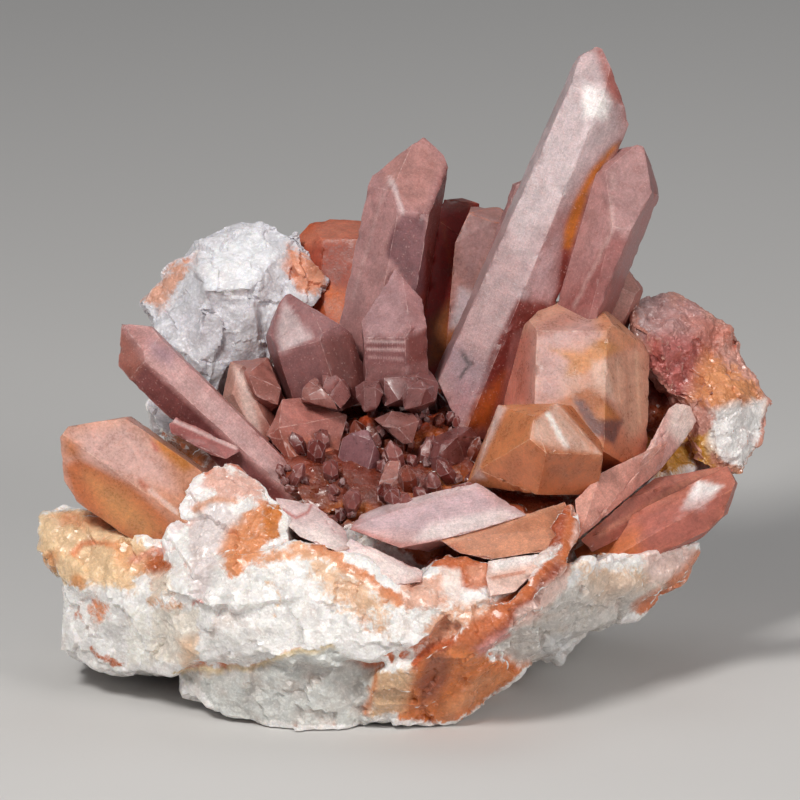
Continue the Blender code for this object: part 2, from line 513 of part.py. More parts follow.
def roughen(obj, voxel, faces, out, inward):
    """Melts the lumps of obj into one rough body. inward keeps it inside its old outline."""
    remesh = obj.modifiers.new("grain", "REMESH")
    remesh.mode = "VOXEL"
    remesh.voxel_size = voxel
    settle(obj)
    bm = bmesh.new()
    bm.from_mesh(obj.data)
    bm.normal_update()
    moves = []
    for vert in bm.verts:
        stand = shake(vert.co, out)
        if inward:
            stand = min(-0.15, stand - out * 0.55)
        moves.append(vert.normal * stand)
    for vert, move in zip(bm.verts, moves):
        vert.co += move
    bm.to_mesh(obj.data)
    bm.free()
    fewer = obj.modifiers.new("fewer", "DECIMATE")
    fewer.ratio = min(1.0, faces / (2 * len(obj.data.polygons)))
    settle(obj)


def matrix_object():
    """The rock: its lumps melted into one rough body."""
    bm = bmesh.new()
    for points in LUMPS.values():
        verts, faces = corners(hull(points))
        made = [bm.verts.new(tuple(v)) for v in verts]
        bmesh.ops.convex_hull(bm, input=made)
    mesh = bpy.data.meshes.new("matrix")
    bm.to_mesh(mesh)
    bm.free()
    obj = link("matrix", mesh)
    roughen(obj, VOXEL, MATRIX_FACES, ROUGHNESS, False)
    return obj


def flatten(obj, height):
    """Cuts obj level at height, and fills the cut."""
    bm = bmesh.new()
    bm.from_mesh(obj.data)
    geom = bm.verts[:] + bm.edges[:] + bm.faces[:]
    cut = bmesh.ops.bisect_plane(bm, geom=geom, plane_co=(0, 0, height), plane_no=(0, 0, -1), clear_outer=True, dist=1e-4)
    edges = [e for e in cut["geom_cut"] if isinstance(e, bmesh.types.BMEdge)]
    bmesh.ops.holes_fill(bm, edges=[e for e in edges if e.is_boundary])
    bmesh.ops.triangulate(bm, faces=[f for f in bm.faces if len(f.verts) > 4])
    bm.to_mesh(obj.data)
    bm.free()


BASE_HEIGHT = 0.4


def build():
    clear()
    made, cutters = {}, []
    for name, members in GROUPS.items():
        if name in ROUGH:
            members = [grown(planes, ROUGH[name][3]) for planes in members]
        parts = [mesh_object(name + "_part", planes) for planes in members]
        body = parts[0]
        for other in parts[1:]:
            boolean(body, other, "UNION")
            bpy.data.objects.remove(other)
        if name in ROUGH:
            voxel, faces, out, _ = ROUGH[name]
            roughen(body, voxel, faces, out, True)
        for cutter in cutters:
            if near(body, cutter):
                boolean(body, cutter, "DIFFERENCE")
        volumes(body)
        body.name = name
        made[name] = body
        for planes in members:
            cutters.append(mesh_object("grown_" + name, grown(planes, GAP + (0.2 if name in ROUGH else 0.0))))
    rock = matrix_object()
    flatten(rock, BASE_HEIGHT)
    for cutter in cutters:
        if near(rock, cutter):
            boolean(rock, cutter, "DIFFERENCE")
    volumes(rock)
    rock.name = "matrix"
    made["matrix"] = rock
    for cutter in cutters:
        bpy.data.objects.remove(cutter)
    for name, obj in made.items():
        obj.data.materials.clear()
        red, green, blue, rough = COLOURS[name]
        obj.data.materials.append(material(name, [linear(c) for c in (red, green, blue)], rough))
    boxes = [box_of(obj) for obj in made.values()]
    lo, hi = np.min([b[0] for b in boxes], axis=0), np.max([b[1] for b in boxes], axis=0)
    shift = np.array([-(lo[0] + hi[0]) / 2, -(lo[1] + hi[1]) / 2, -lo[2]])
    for obj in made.values():
        obj.data.transform(Matrix.Scale(0.001, 4) @ Matrix.Translation(Vector(shift)))
    return made, shift


OBJECTS, SHIFT = build()
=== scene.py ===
"""The looks of the hematoid quartz cluster: satin pink, orange and red crystals on sugary milky quartz.

Every crystal and lump is laid out on the same front sheet as the solid model: a point is
(across, down, depth), with across and down in steps on a sheet 800 steps square, and depth in
millimetres away from the viewer. Meshes are made in millimetres and end in metres.
"""

import itertools
import json
import math
import random

import bmesh  # noqa: E402
import bpy  # noqa: E402
import numpy as np  # noqa: E402
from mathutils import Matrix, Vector, noise  # noqa: E402
from mathutils.bvhtree import BVHTree  # noqa: E402

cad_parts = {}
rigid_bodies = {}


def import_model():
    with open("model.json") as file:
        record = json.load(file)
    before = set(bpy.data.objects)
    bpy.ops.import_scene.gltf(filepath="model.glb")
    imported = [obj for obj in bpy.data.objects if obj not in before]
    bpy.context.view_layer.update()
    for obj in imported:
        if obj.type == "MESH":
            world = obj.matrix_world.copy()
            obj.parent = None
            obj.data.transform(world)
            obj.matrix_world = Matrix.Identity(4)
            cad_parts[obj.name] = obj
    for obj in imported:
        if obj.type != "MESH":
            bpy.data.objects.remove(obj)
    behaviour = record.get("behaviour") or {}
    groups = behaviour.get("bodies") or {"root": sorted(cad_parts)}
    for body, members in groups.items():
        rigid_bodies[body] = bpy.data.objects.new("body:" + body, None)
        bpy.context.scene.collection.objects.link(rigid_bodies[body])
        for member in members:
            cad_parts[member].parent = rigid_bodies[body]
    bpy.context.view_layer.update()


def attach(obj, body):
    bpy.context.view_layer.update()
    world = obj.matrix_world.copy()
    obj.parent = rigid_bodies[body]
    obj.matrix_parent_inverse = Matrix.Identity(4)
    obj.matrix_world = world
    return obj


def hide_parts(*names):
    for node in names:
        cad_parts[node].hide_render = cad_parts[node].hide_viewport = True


for old in list(bpy.data.objects):
    bpy.data.objects.remove(old)
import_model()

STEP = 0.12
EYE = 800.0
ELEVATION = 15.0
MID_HEIGHT = 32.3
PYRAMID = 51.8
SHIFT = np.array([-0.8919, 1.9675, -0.4])

_E = math.radians(ELEVATION)
RIGHT = np.array([1.0, 0.0, 0.0])
UP = np.array([0.0, math.sin(_E), math.cos(_E)])
TOWARD = np.array([0.0, -math.cos(_E), math.sin(_E)])
MIDDLE = np.array([0.0, 0.0, MID_HEIGHT])


def place(x, y, w):
    """The point in millimetres of (across, down, depth)."""
    k = STEP * (EYE + w) / EYE
    return MIDDLE + (x - 400) * k * RIGHT + (400 - y) * k * UP - w * TOWARD


def sheet(points):
    """The sheet position of points in millimetres: across, down, depth."""
    d = points - MIDDLE
    w = -(d @ TOWARD)
    k = STEP * (EYE + w) / EYE
    return 400 + (d @ RIGHT) / k, 400 - (d @ UP) / k, w


# ---------------------------------------------------------------- convex solids as planes


class Planes(list):
    """The planes of a solid, with the directions of its crystal axes."""

    axes = None


def corners(planes):
    """The corners of the solid where n.p <= d holds for every plane (n, d), and its faces."""
    normals = np.array([n for n, _ in planes])
    dists = np.array([d for _, d in planes])
    trios = np.array(list(itertools.combinations(range(len(planes)), 3)))
    mats = normals[trios]
    dets = np.linalg.det(mats)
    keep = np.abs(dets) > 1e-5
    points = np.linalg.solve(mats[keep], dists[trios[keep]][..., None])[..., 0]
    inside = (points @ normals.T <= dists + 1e-6).all(axis=1)
    points = points[inside]
    merged = []
    for point in points:
        if not any(np.abs(point - other).max() < 2e-3 for other in merged):
            merged.append(point)
    merged = np.array(merged)
    faces = []
    for normal, dist in planes:
        on = [i for i, p in enumerate(merged) if abs(p @ normal - dist) < 4e-3]
        if len(on) < 3:
            continue
        centre = merged[on].mean(axis=0)
        u = merged[on[0]] - centre
        u = u - (u @ normal) * normal
        u = u / np.linalg.norm(u)
        v = np.cross(normal, u)
        faces.append(sorted(on, key=lambda i: math.atan2((merged[i] - centre) @ v, (merged[i] - centre) @ u)))
    return merged, faces


def unit(v):
    v = np.asarray(v, float)
    return v / np.linalg.norm(v)


def cut_plane(p1, p2, lean, w):
    """The plane through the sheet line p1-p2 at depth w. It takes off the side left of p1 to
    p2, and its face turns toward the viewer by lean."""
    dx, dy = p2[0] - p1[0], p2[1] - p1[1]
    side = unit(dy * RIGHT + dx * UP)
    q = math.radians(lean)
    normal = math.cos(q) * side + math.sin(q) * TOWARD
    return normal, float(normal @ place((p1[0] + p2[0]) / 2, (p1[1] + p2[1]) / 2, w))


def crystal(root, top, w, tilt, turn, edges, tip=None, shoulders=None, lean=None, thick=1.0, cuts=(), point=True, foot=0.0, pyramid=PYRAMID):
    """The planes of one six-sided crystal.

    root, top: two sheet points of its axis, with the root at depth w. tilt turns the tip
    toward the viewer. turn is the angle of its front face about the axis. edges: how far the
    four visible prism edges lie from the axis, left to right, in steps. shoulders: for a
    visible face (-1, 0, 1), how far its tip face starts above the root, in steps.
    """
    t, beta = math.radians(tilt), math.radians(turn)
    k = STEP * (EYE + w) / EYE
    ax, ay = top[0] - root[0], root[1] - top[1]
    length = math.hypot(ax, ay)
    ax, ay = ax / length, ay / length
    flat = ax * RIGHT + ay * UP
    a = math.cos(t) * flat + math.sin(t) * TOWARD
    r = ay * RIGHT - ax * UP
    f = np.cross(r, a)
    base = place(root[0], root[1], w)

    def local(p):
        dx, dy = p[0] - root[0], root[1] - p[1]
        return (dx * ay - dy * ax) * k, (dx * ax + dy * ay) * k

    o = [float(e) * k for e in edges]
    y1 = 0.0
    y2 = y1 - math.tan(beta) * (o[2] - o[1])
    y0 = y1 + math.tan(beta - math.pi / 3) * (o[1] - o[0])
    y3 = y2 - math.tan(beta + math.pi / 3) * (o[3] - o[2])
    n2 = np.array([math.sin(beta), math.cos(beta)])
    d0 = n2 @ (o[1], y1)
    depth = thick * (o[3] - o[0]) * 0.9
    depth = max(depth, 1.05 * (d0 - n2 @ (o[0], y0)), 1.05 * (d0 - n2 @ (o[3], y3)))
    shift = (depth / 2 + n2[0] * (o[0] + o[3]) / 2 - d0) / n2[1]
    y0, y1, y2, y3 = y0 + shift, y1 + shift, y2 + shift, y3 + shift
    through = {-1: (o[1], y1), 0: (o[1], y1), 1: (o[2], y2), 2: (o[3], y3), -2: (o[0], y0)}
    sides = {}
    for j in (-2, -1, 0, 1, 2, 3):
        angle = beta + j * math.pi / 3
        normal = np.array([math.sin(angle), math.cos(angle)])
        sides[j] = (normal, depth - sides[0][1] if j == 3 else float(normal @ through[j]))
    leans = {j: 0.0 for j in sides}
    leans.update(lean if isinstance(lean, dict) else {j: lean or 0.0 for j in sides})
    planes = Planes()
    planes.axes = (r, f, a, base)
    top_h = length * k / math.cos(t)
    for j, (normal, dist) in sides.items():
        q = math.radians(leans[j])
        n3 = math.cos(q) * (normal[0] * r + normal[1] * f) + math.sin(q) * a
        planes.append((n3, float(n3 @ (base + (normal[0] * r + normal[1] * f) * dist + a * top_h * 0.55))))
    if point:
        tip = tip or top
        tx, ti = local(tip)
        starts = {}
        for j, s in (shoulders or {}).items():
            normal, dist = sides[j]
            mid = {-1: (o[0] + o[1]) / 2, 0: (o[1] + o[2]) / 2, 1: (o[2] + o[3]) / 2}.get(j, 0.0)
            y = (dist - normal[0] * mid) / normal[1] if abs(normal[1]) > 0.2 else 0.0
            starts[j] = (s * k + y * math.sin(t)) / math.cos(t)
        steep = {j: math.radians(pyramid.get(j, PYRAMID) if isinstance(pyramid, dict) else pyramid) for j in sides}
        guesses = []
        ty = 0.0
        for _ in range(4):
            th = (ti + ty * math.sin(t)) / math.cos(t)
            guesses = [
                (sides[j][1] - (th - h) / math.tan(steep[j]) - sides[j][0][0] * tx) / sides[j][0][1]
                for j, h in starts.items()
                if abs(sides[j][0][1]) > 0.6
            ]
            ty = sum(guesses) / len(guesses) if guesses else 0.0
        th = (ti + ty * math.sin(t)) / math.cos(t)
        apex = base + tx * r + ty * f + th * a
        for j, (normal, dist) in sides.items():
            n3 = math.sin(steep[j]) * (normal[0] * r + normal[1] * f) + math.cos(steep[j]) * a
            if j in starts:
                at = base + (normal[0] * r + normal[1] * f) * dist + starts[j] * a
            else:
                at = apex
            planes.append((n3, float(n3 @ at)))
    else:
        planes.append((a, float(a @ (base + top_h * a))))
    if foot:
        q = math.radians(foot)
        for j, (normal, dist) in sides.items():
            n3 = math.sin(q) * (normal[0] * r + normal[1] * f) - math.cos(q) * a
            planes.append((n3, float(n3 @ base)))
    else:
        planes.append((-a, float(-a @ base)))
    for p1, p2, q, cw in cuts:
        planes.append(cut_plane(p1, p2, q, cw))
    return planes


def hull(points):
    """The planes of the convex hull of sheet points."""
    bm = bmesh.new()
    for p in points:
        bm.verts.new(place(*p))
    bmesh.ops.convex_hull(bm, input=bm.verts)
    bm.normal_update()
    centre = np.mean([place(*p) for p in points], axis=0)
    planes = Planes()
    for face in bm.faces:
        n = unit(face.normal)
        d = float(n @ np.array(face.verts[0].co))
        if n @ centre > d:
            n, d = -n, -d
        if not any(n @ m > 0.99995 and abs(d - e) < 0.02 for m, e in planes):
            planes.append((n, d))
    bm.free()
    return planes


def grown(planes, by):
    return Planes((n, d + by) for n, d in planes)


# ---------------------------------------------------------------- the crystals

GROUPS = {
    "tall_crystal": [
        crystal((463, 432), (608, 78), 3, 0, -22, (-43, -37, 2, 37), tip=(600, 41), shoulders={-1: 385, 0: 360, 1: 361},
                lean={-1: 1.7, -2: 1.7, 3: 0.5}, cuts=[((459, 428), (438, 382), 0, 3)], pyramid={0: 57.0, 1: 55.0, 2: 50.0}, thick=1.15),
        crystal((470, 330), (523, 182), 7, 0, -10, (-9, -5, 6, 12), tip=(531, 174)),
    ],
    "right_tall_crystal": [
        crystal((588, 322), (632, 158), 0.5, 0, 14, (-38, -2, 16, 32), tip=(645, 143), shoulders={0: 98, -1: 152, -2: 116, 1: 151, 2: 154, 3: 148},
                lean={-2: -2, -1: -2, 0: -2, 1: -6, 2: -6, 3: -2}, thick=1.1, pyramid={-1: 47.0, 0: 66.0, 1: 62.0, 2: 68.0, 3: 50.0, -2: 72.0}),
    ],
    "centre_crystals": [
        crystal((370, 395), (412, 170), 7, 3, 15, (-42, -6, 26, 38), tip=(426, 134), shoulders={-1: 202, 0: 185, 1: 248}, lean=1.0),
        crystal((393, 392), (389, 275), 1, 5, -22, (-29, -27, 14, 36), tip=(388, 261), shoulders={0: 54, 1: 62, -1: 76}, thick=1.3),
    ],
    "left_centre_crystal": [
        crystal((325, 410), (290, 300), 2, 8, -20, (-36, -27, 17, 50), tip=(285, 290), shoulders={0: 68, 1: 75}),
    ],
    "long_blade_crystal": [
        crystal((312, 505), (133, 329), -8, -5, 25, (-38, -11, 13, 15), tip=(119, 323), shoulders={-1: 226, 0: 230, -2: 237}, lean={-1: -4, 0: -2}, pyramid={-2: 42.0}),
    ],
    "left_orange_crystal": [
        crystal((190, 520), (66, 432), -12, 0, 27, (-50, -2, 47, 50), point=False,
                cuts=[((66, 500), (63, 430), -4, -14), ((77, 504), (65, 482), -6, -15), ((66, 427), (130, 416), 0, -14)]),
    ],
    "right_stubby_pair": [
        crystal((573, 478), (580, 300), -5, -24, -6, (-72, -42, 28, 74), tip=(596, 300), shoulders={-2: 140, -1: 149, 0: 147, 1: 145, 2: 130}),
        hull([(498, 405, -11.5), (534, 416, -18.3), (557, 403, -14.5), (603, 455, -16), (599, 495, -12.3), (537, 495, -16.5), (478, 470, -13), (466, 484, -10),
              (530, 439, -19.5), (546, 453, -20), (490, 470, 0), (600, 480, 0), (600, 410, 0), (500, 410, 0)]),
    ],
    "white_block": [
        hull([(140, 303, 12), (162, 278, 12), (172, 260, 13), (192, 255, 13), (215, 300, 6), (200, 362, 6), (226, 368, 7), (164, 340, 8), (150, 312, 22), (190, 260, 25),
              (190, 380, 22), (230, 400, 22), (215, 400, 8)]),
        hull([(190, 262, 13), (194, 242, 14), (222, 229, 15), (264, 219, 15), (290, 239, 14), (258, 364, 8), (226, 368, 7), (200, 340, 6), (205, 290, 5), (252, 290, 6),
              (200, 250, 26), (255, 240, 27), (282, 262, 24), (255, 400, 22), (200, 400, 22)]),
        hull([(266, 242, 13), (283, 238, 13), (297, 231, 13), (311, 252, 13), (324, 280, 12), (320, 296, 11), (264, 366, 9), (250, 300, 8), (290, 250, 22), (312, 282, 20), (262, 380, 20)]),
    ],
    "back_left_crystal": [
        hull([(286, 250, 16), (310, 223, 17), (330, 219, 18), (366, 221, 17), (368, 238, 12), (322, 239, 13), (308, 250, 14), (346, 296, 12.5), (338, 318, 12),
              (322, 300, 12), (350, 400, 10), (300, 390, 14), (300, 240, 26), (360, 225, 26), (350, 380, 22), (300, 380, 22)]),
    ],
    "back_crystals": [
        hull([(469, 213, 10), (494, 222, 10), (510, 224, 10.5), (455, 243, 9.2), (459, 285, 9), (470, 298, 9), (500, 290, 9.5), (448, 330, 9), (445, 360, 8), (480, 350, 9),
              (471, 207, 13), (500, 206, 13.5), (512, 212, 15), (462, 250, 18), (505, 250, 20), (450, 360, 16), (490, 350, 18)]),
        hull([(444, 199, 15), (462, 198, 16), (480, 203, 16), (438, 220, 13), (426, 262, 12), (420, 320, 10), (418, 372, 8), (458, 300, 11), (466, 240, 13), (450, 362, 9),
              (446, 202, 22), (478, 206, 23), (430, 376, 18), (470, 340, 20), (446, 388, 8)]),
    ],
    "left_small_crystals": [
        crystal((268, 440), (233, 378), -1, 4, 8, (-21, -8, 9, 17), tip=(230, 361), shoulders={-1: 58, 0: 70}),
        hull([(232, 361, 2), (268, 357, 1), (281, 389, -2), (278, 405, -3), (257, 397, -4), (248, 373, -3), (240, 372, -2), (245, 370, 8), (278, 372, 8), (285, 410, 5), (255, 425, 4)]),
    ],
    "pink_stubby_crystal": [
        hull([(282, 399, -3), (300, 398, -2.5), (347, 415, -3), (337, 458, -6), (318, 455, -7), (300, 462, -8), (291, 463, -8), (283, 440, -8), (266, 436, -6), (279, 428, -7.5),
              (285, 405, 4), (340, 420, 4), (335, 460, 2), (280, 450, 2)]),
    ],
    "left_plate_crystal": [
        hull([(169, 424, -13), (176, 417, -12), (236, 446, -10.5), (240, 451, -10.5), (226, 459, -11.5), (212, 455, -12), (171, 433, -13.5),
              (172, 425, -9), (238, 450, -7), (226, 459, -7), (176, 434, -9)]),
    ],
    "druse_prism": [
        crystal((352, 506), (370, 434), -4, 12, -24, (-27, -25, 7, 20), tip=(366, 424), shoulders={0: 70, 1: 76, -1: 72}),
    ],
    "druse_right_crystal": [
        hull([(420, 462, -5), (428, 440, -4), (458, 426, -3), (471, 427, -3), (478, 437, -3.5), (470, 471, -6), (436, 480, -8), (438, 456, -9.5), (441, 444, -9),
              (457, 437, -8), (425, 470, 3), (475, 470, 3), (470, 432, 3), (435, 440, 3)]),
    ],
    "druse_centre_crystals": [
        hull([(372, 381, -2), (400, 367, -1), (426, 366, -1), (439, 382, -2), (416, 376, -5), (384, 378, -5), (399, 400, -6), (385, 406, -5), (436, 400, -3), (380, 400, 4), (435, 410, 4), (425, 370, 4), (385, 374, 4)]),
        hull([(355, 387, -4), (363, 381, -4), (379, 380, -4.5), (384, 394, -6), (376, 410, -6), (364, 412, -6), (356, 398, -5), (364, 388, -7), (375, 387, -7), (360, 390, 2), (380, 390, 2), (372, 412, 1)]),
        hull([(402, 395, -6), (406, 382, -5.5), (420, 379, -5), (434, 386, -4.5), (420, 406, -7), (404, 410, -7), (426, 389, -7.5), (408, 388, -8), (436, 400, -4), (405, 400, 2), (435, 400, 2), (420, 415, 2)]),
    ],
    "druse_front_crystal": [
        hull([(374, 419, -6), (392, 411, -5.5), (412, 413, -5.5), (419, 421, -6.5), (398, 428, -9), (382, 426, -9), (412, 443, -8), (403, 444, -8), (380, 420, 0), (415, 425, 0), (405, 448, 0)]),
    ],
    "druse_upper_left_crystal": [
        hull([(322, 371, -3), (330, 370, -3), (341, 379, -4), (322, 388, -6), (346, 380, -3), (352, 395, -4), (341, 409, -6), (329, 396, -6.5), (325, 380, 3), (348, 390, 3), (338, 412, 1)]),
    ],
    "druse_left_crystal": [
        hull([(309, 381, -5), (316, 376, -4), (322, 388, -6.5), (332, 398, -7), (338, 410, -6.5), (300, 400, -6), (303, 388, -5.5), (315, 385, 1), (335, 405, 1), (305, 405, 1)]),
    ],
    "druse_low_left_crystal": [
        hull([(311, 501, -11), (318, 491, -10), (328, 487, -9.5), (346, 490, -10), (354, 501, -11), (351, 509, -12.5), (334, 500, -14), (330, 491, -13), (315, 506, -12), (318, 510, -5), (350, 512, -5), (335, 496, -3)]),
    ],
    "druse_tiny_crystal": [
        hull([(323, 517, -13), (333, 511, -12.5), (339, 514, -13), (338, 522, -14), (330, 524, -14), (333, 516, -15), (328, 522, -8), (338, 520, -8), (332, 513, -8)]),
    ],
    "druse_column": [
        hull([(385, 465, -9), (392, 457, -8.5), (400, 460, -9), (402, 478, -10), (398, 476, -11), (404, 500, -12), (377, 503, -13), (379, 482, -11.5), (390, 462, -3), (400, 480, -3), (385, 505, -5)]),
    ],
    "druse_low_right_crystal": [
        hull([(409, 476, -9), (417, 470, -8.5), (425, 471, -8.5), (434, 477, -9), (431, 486, -10.5), (421, 479, -11.5), (415, 497, -12), (411, 485, -11), (420, 478, -4), (432, 484, -4), (416, 500, -6)]),
    ],
    "right_back_crystal": [
        crystal((607, 330), (627, 282), 6, 0, 5, (-20, -12, 12, 20), tip=(628, 266), shoulders={1: 50}, pyramid={1: 34.0, 2: 34.0}),
    ],
    "red_crusted_block": [
        hull([(635, 297, 6), (645, 293, 7), (662, 297, 8), (676, 293, 9), (695, 301, 9), (716, 312, 9), (718, 345, 7), (702, 372, 4), (690, 400, 3), (676, 404, 2), (660, 390, 2), (646, 364, 2),
              (638, 338, 2), (626, 321, 3), (660, 340, -1.5), (690, 345, 1.5), (650, 300, 20), (700, 320, 22), (680, 410, 18), (650, 400, 18)]),
        hull([(712, 313, 9), (734, 320, 9), (743, 340, 9), (738, 352, 8), (720, 380, 5), (700, 372, 4), (720, 330, 20), (735, 350, 18)]),
        hull([(706, 350, 8), (736, 350, 8), (745, 365, 8), (761, 385, 8), (775, 403, 7), (764, 440, 5), (744, 474, 3), (712, 472, 1), (690, 462, 1), (676, 430, 2), (689, 398, 1.5), (702, 372, 2.5),
              (720, 400, -0.5), (715, 345, 22), (750, 390, 22), (745, 450, 18), (700, 460, 16)]),
    ],
    "curved_blade_crystal": [
        hull([(678, 402, 0), (690, 406, 1), (697, 421, 1.5), (690, 433, 0), (660, 470, -6), (640, 482, -8.5), (640, 462, -9), (652, 450, -7), (668, 409, -2), (690, 428, 5), (660, 470, 0), (645, 485, -3)]),
        hull([(652, 450, -7), (668, 440, -5), (660, 470, -6), (626, 490, -11), (578, 540, -18), (575, 500, -15), (602, 472, -13), (640, 480, -3), (600, 515, -8), (580, 510, -8)]),
    ],
    "right_rear_prism": [
        hull([(580, 540, -16), (626, 500, -10), (655, 478, -5), (700, 470, -1), (722, 466, 1), (735, 470, 2), (695, 500, -3), (600, 545, -13), (592, 552, -14), (650, 500, 2), (725, 480, 8), (600, 550, -4)]),
    ],
    "right_front_prism": [
        crystal((582, 566), (738, 487), -9, 4, 22, (-24, 2, 24, 30), point=False,
                cuts=[((749, 462), (734, 503), 6, 0), ((735, 507), (701, 540), 4, -3)], lean={-1: -3}),
    ],
    "front_slab": [
        hull([(361, 514, -15), (380, 506, -14.5), (404, 501, -14.2), (476, 481, -12.5), (527, 515, -17.5), (478, 530, -20.5), (436, 541, -21.5), (400, 548, -22), (348, 529, -19.5),
              (375, 535, -12), (480, 520, -9), (430, 552, -15)]),
        hull([(440, 540, -21.2), (527, 516, -17.4), (565, 502, -15.2), (573, 527, -20), (556, 549, -22.8), (492, 559, -23.6), (460, 553, -23), (480, 560, -14), (560, 545, -12), (555, 515, -9)]),
    ],
    "front_left_slab": [
        hull([(275, 497, -16), (300, 502, -16), (314, 504, -16.5), (330, 523, -18.5), (346, 530, -19.8), (350, 549, -24), (338, 552, -24.5), (300, 537, -23), (282, 520, -20), (290, 515, -12), (340, 545, -14)]),
        hull([(340, 552, -24.3), (350, 538, -22.5), (376, 549, -23), (400, 561, -24), (424, 571, -24.5), (421, 582, -26.5), (393, 586, -27), (362, 569, -26), (360, 560, -16), (410, 580, -17)]),
    ],
    "front_step_slab": [
        hull([(488, 561, -24.2), (556, 551, -23.4), (541, 566, -25), (515, 592, -27), (490, 597, -27), (486, 578, -26), (495, 575, -16), (540, 562, -15)]),
    ],
}

# The lumps that the matrix grows from, as sheet points.
LUMPS = {
    "lower": [(178, 672, -12), (190, 696, -15), (205, 706, -17), (219, 717, -18), (255, 723, -19), (295, 738, -20), (336, 738, -20), (368, 721, -20), (376, 668, -23),
              (326, 649, -24), (262, 658, -23), (200, 670, -18), (200, 672, 5), (300, 712, 8), (370, 700, 8)],
    "front": [(150, 670, -14), (180, 668, -19), (262, 656, -25.5), (330, 646, -27), (380, 662, -27), (430, 640, -28.5), (450, 610, -28.5), (400, 588, -27.5), (340, 556, -25.5), (300, 540, -24.5),
              (220, 560, -25), (165, 590, -22), (140, 600, -17), (160, 640, 0), (300, 640, 0), (420, 620, 0), (200, 560, -5), (420, 560, -8)],
    "mound": [(163, 540, -19), (172, 515, -18), (195, 480, -17), (212, 464, -16), (230, 460, -15.5), (262, 480, -16), (278, 508, -19), (300, 545, -24), (290, 600, -27), (210, 610, -26), (160, 590, -22),
              (180, 510, -6), (260, 490, -5), (170, 580, -4), (280, 580, -6)],
    "left_top": [(35, 516, -8), (40, 511, -6), (68, 508, -5), (80, 508, -7), (110, 532, -11), (146, 552, -14), (170, 548, -17), (160, 590, -19), (100, 600, -15), (60, 580, -11), (48, 570, -9), (37, 553, -8),
                 (50, 515, 6), (100, 525, 8), (160, 540, 4), (70, 575, 6)],
    "left_low": [(60, 575, -9), (66, 603, -9), (64, 618, -9), (68, 639, -9), (64, 652, -8), (80, 665, -9), (106, 672, -11), (154, 676, -14), (180, 672, -18), (180, 590, -20), (110, 590, -16),
                 (80, 600, 8), (80, 650, 8), (160, 665, 8), (180, 580, 6)],
    "vein_top": [(567, 503, -19), (576, 503, -19), (577, 540, -22), (562, 573, -25.5), (540, 602, -27.5), (505, 628, -28.5), (518, 592, -27.5), (554, 549, -24), (540, 580, -14), (570, 520, -10), (510, 600, -14)],
    "vein_mid": [(520, 590, -27.5), (542, 600, -27.5), (508, 630, -28), (470, 662, -27.5), (440, 668, -27.5), (425, 655, -28.5), (480, 618, -28.5), (500, 600, -14), (450, 650, -14), (490, 640, -14)],
    "vein_low": [(412, 668, -27.5), (440, 648, -28), (480, 655, -26), (528, 667, -14), (508, 682, -15), (484, 700, -17), (457, 722, -18), (400, 722, -20), (370, 720, -21), (364, 700, -23), (372, 672, -25),
                 (400, 690, 4), (500, 660, 2), (450, 700, 2)],
    "steps": [(395, 586, -27), (425, 574, -25), (440, 560, -23.5), (470, 556, -23.5), (491, 560, -24), (492, 596, -27), (470, 625, -28.5), (420, 610, -28.5), (430, 560, -12), (480, 570, -12), (440, 610, -12)],
    "right_front": [(540, 600, -25), (566, 565, -23), (600, 560, -18), (640, 564, -14), (703, 541, -7), (705, 552, -6), (694, 572, -7), (658, 588, -10), (595, 632, -12), (540, 638, -14), (528, 666, -12), (490, 664, -19), (508, 625, -25),
                    (560, 570, -5), (680, 545, 6), (640, 590, 4), (540, 650, 4)],
    "right_low": [(600, 600, -10), (650, 590, -7), (680, 580, -3), (697, 562, 0), (660, 598, 0), (651, 611, -3), (630, 617, -5), (595, 634, -8), (600, 600, 10), (650, 590, 12), (690, 550, 10)],
    "behind_vein": [(366, 660, -23.5), (400, 630, -26.5), (440, 620, -27), (480, 600, -26), (512, 594, -25.5), (540, 575, -23), (500, 640, -25.5), (470, 664, -25), (425, 680, -23.5), (380, 676, -23),
                    (480, 570, -21), (420, 570, -22), (400, 600, -8), (480, 640, -8), (440, 560, -8), (400, 680, -6), (530, 580, -10)],
    "left_rear": [(147, 404, 9), (149, 422, 7), (158, 436, 5), (178, 446, 2), (206, 452, 2), (205, 400, 14), (165, 400, 12), (160, 402, 20), (165, 434, 18), (205, 440, 18)],
    "right_rear": [(628, 366, 7), (672, 386, 8), (690, 410, 6), (716, 446, 5), (714, 476, 4), (650, 480, 4), (634, 440, 4), (690, 405, 18), (700, 470, 16), (634, 380, 18), (650, 470, 16)],
    "prong": [(537, 636, -13), (590, 634, -9), (577, 651, -8), (564, 667, -8), (553, 667, -8), (537, 656, -10), (560, 630, 0), (560, 655, -1)],
    "body": [(170, 560, -14), (300, 525, -14), (420, 520, -14), (560, 520, -12), (640, 530, -8), (700, 500, 0), (200, 440, 2), (300, 430, 4), (400, 425, 4), (480, 425, 4), (640, 425, 3), (700, 440, 4),
             (190, 385, 20), (330, 385, 24), (500, 385, 24), (680, 400, 20), (230, 690, -8), (300, 712, -4), (450, 700, -6), (535, 650, -4), (640, 600, 0),
             (120, 600, 14), (180, 626, 17), (300, 621, 24), (450, 621, 24), (575, 622, 18), (660, 570, 15), (100, 540, 4)],
    "druse_bed": [(280, 450, -6), (340, 420, -2), (400, 410, 0), (450, 420, 0), (480, 470, -8), (450, 500, -12), (380, 515, -14), (310, 510, -14), (280, 480, -12), (300, 500, 5), (460, 480, 5), (380, 430, 8)],
}

# Broken blocks: grain, roughness, fullness.
ROUGH = {"white_block": (0.30, 0.8, 0.55), "red_crusted_block": (0.30, 1.0, 0.25)}


# ---------------------------------------------------------------- fine meshes


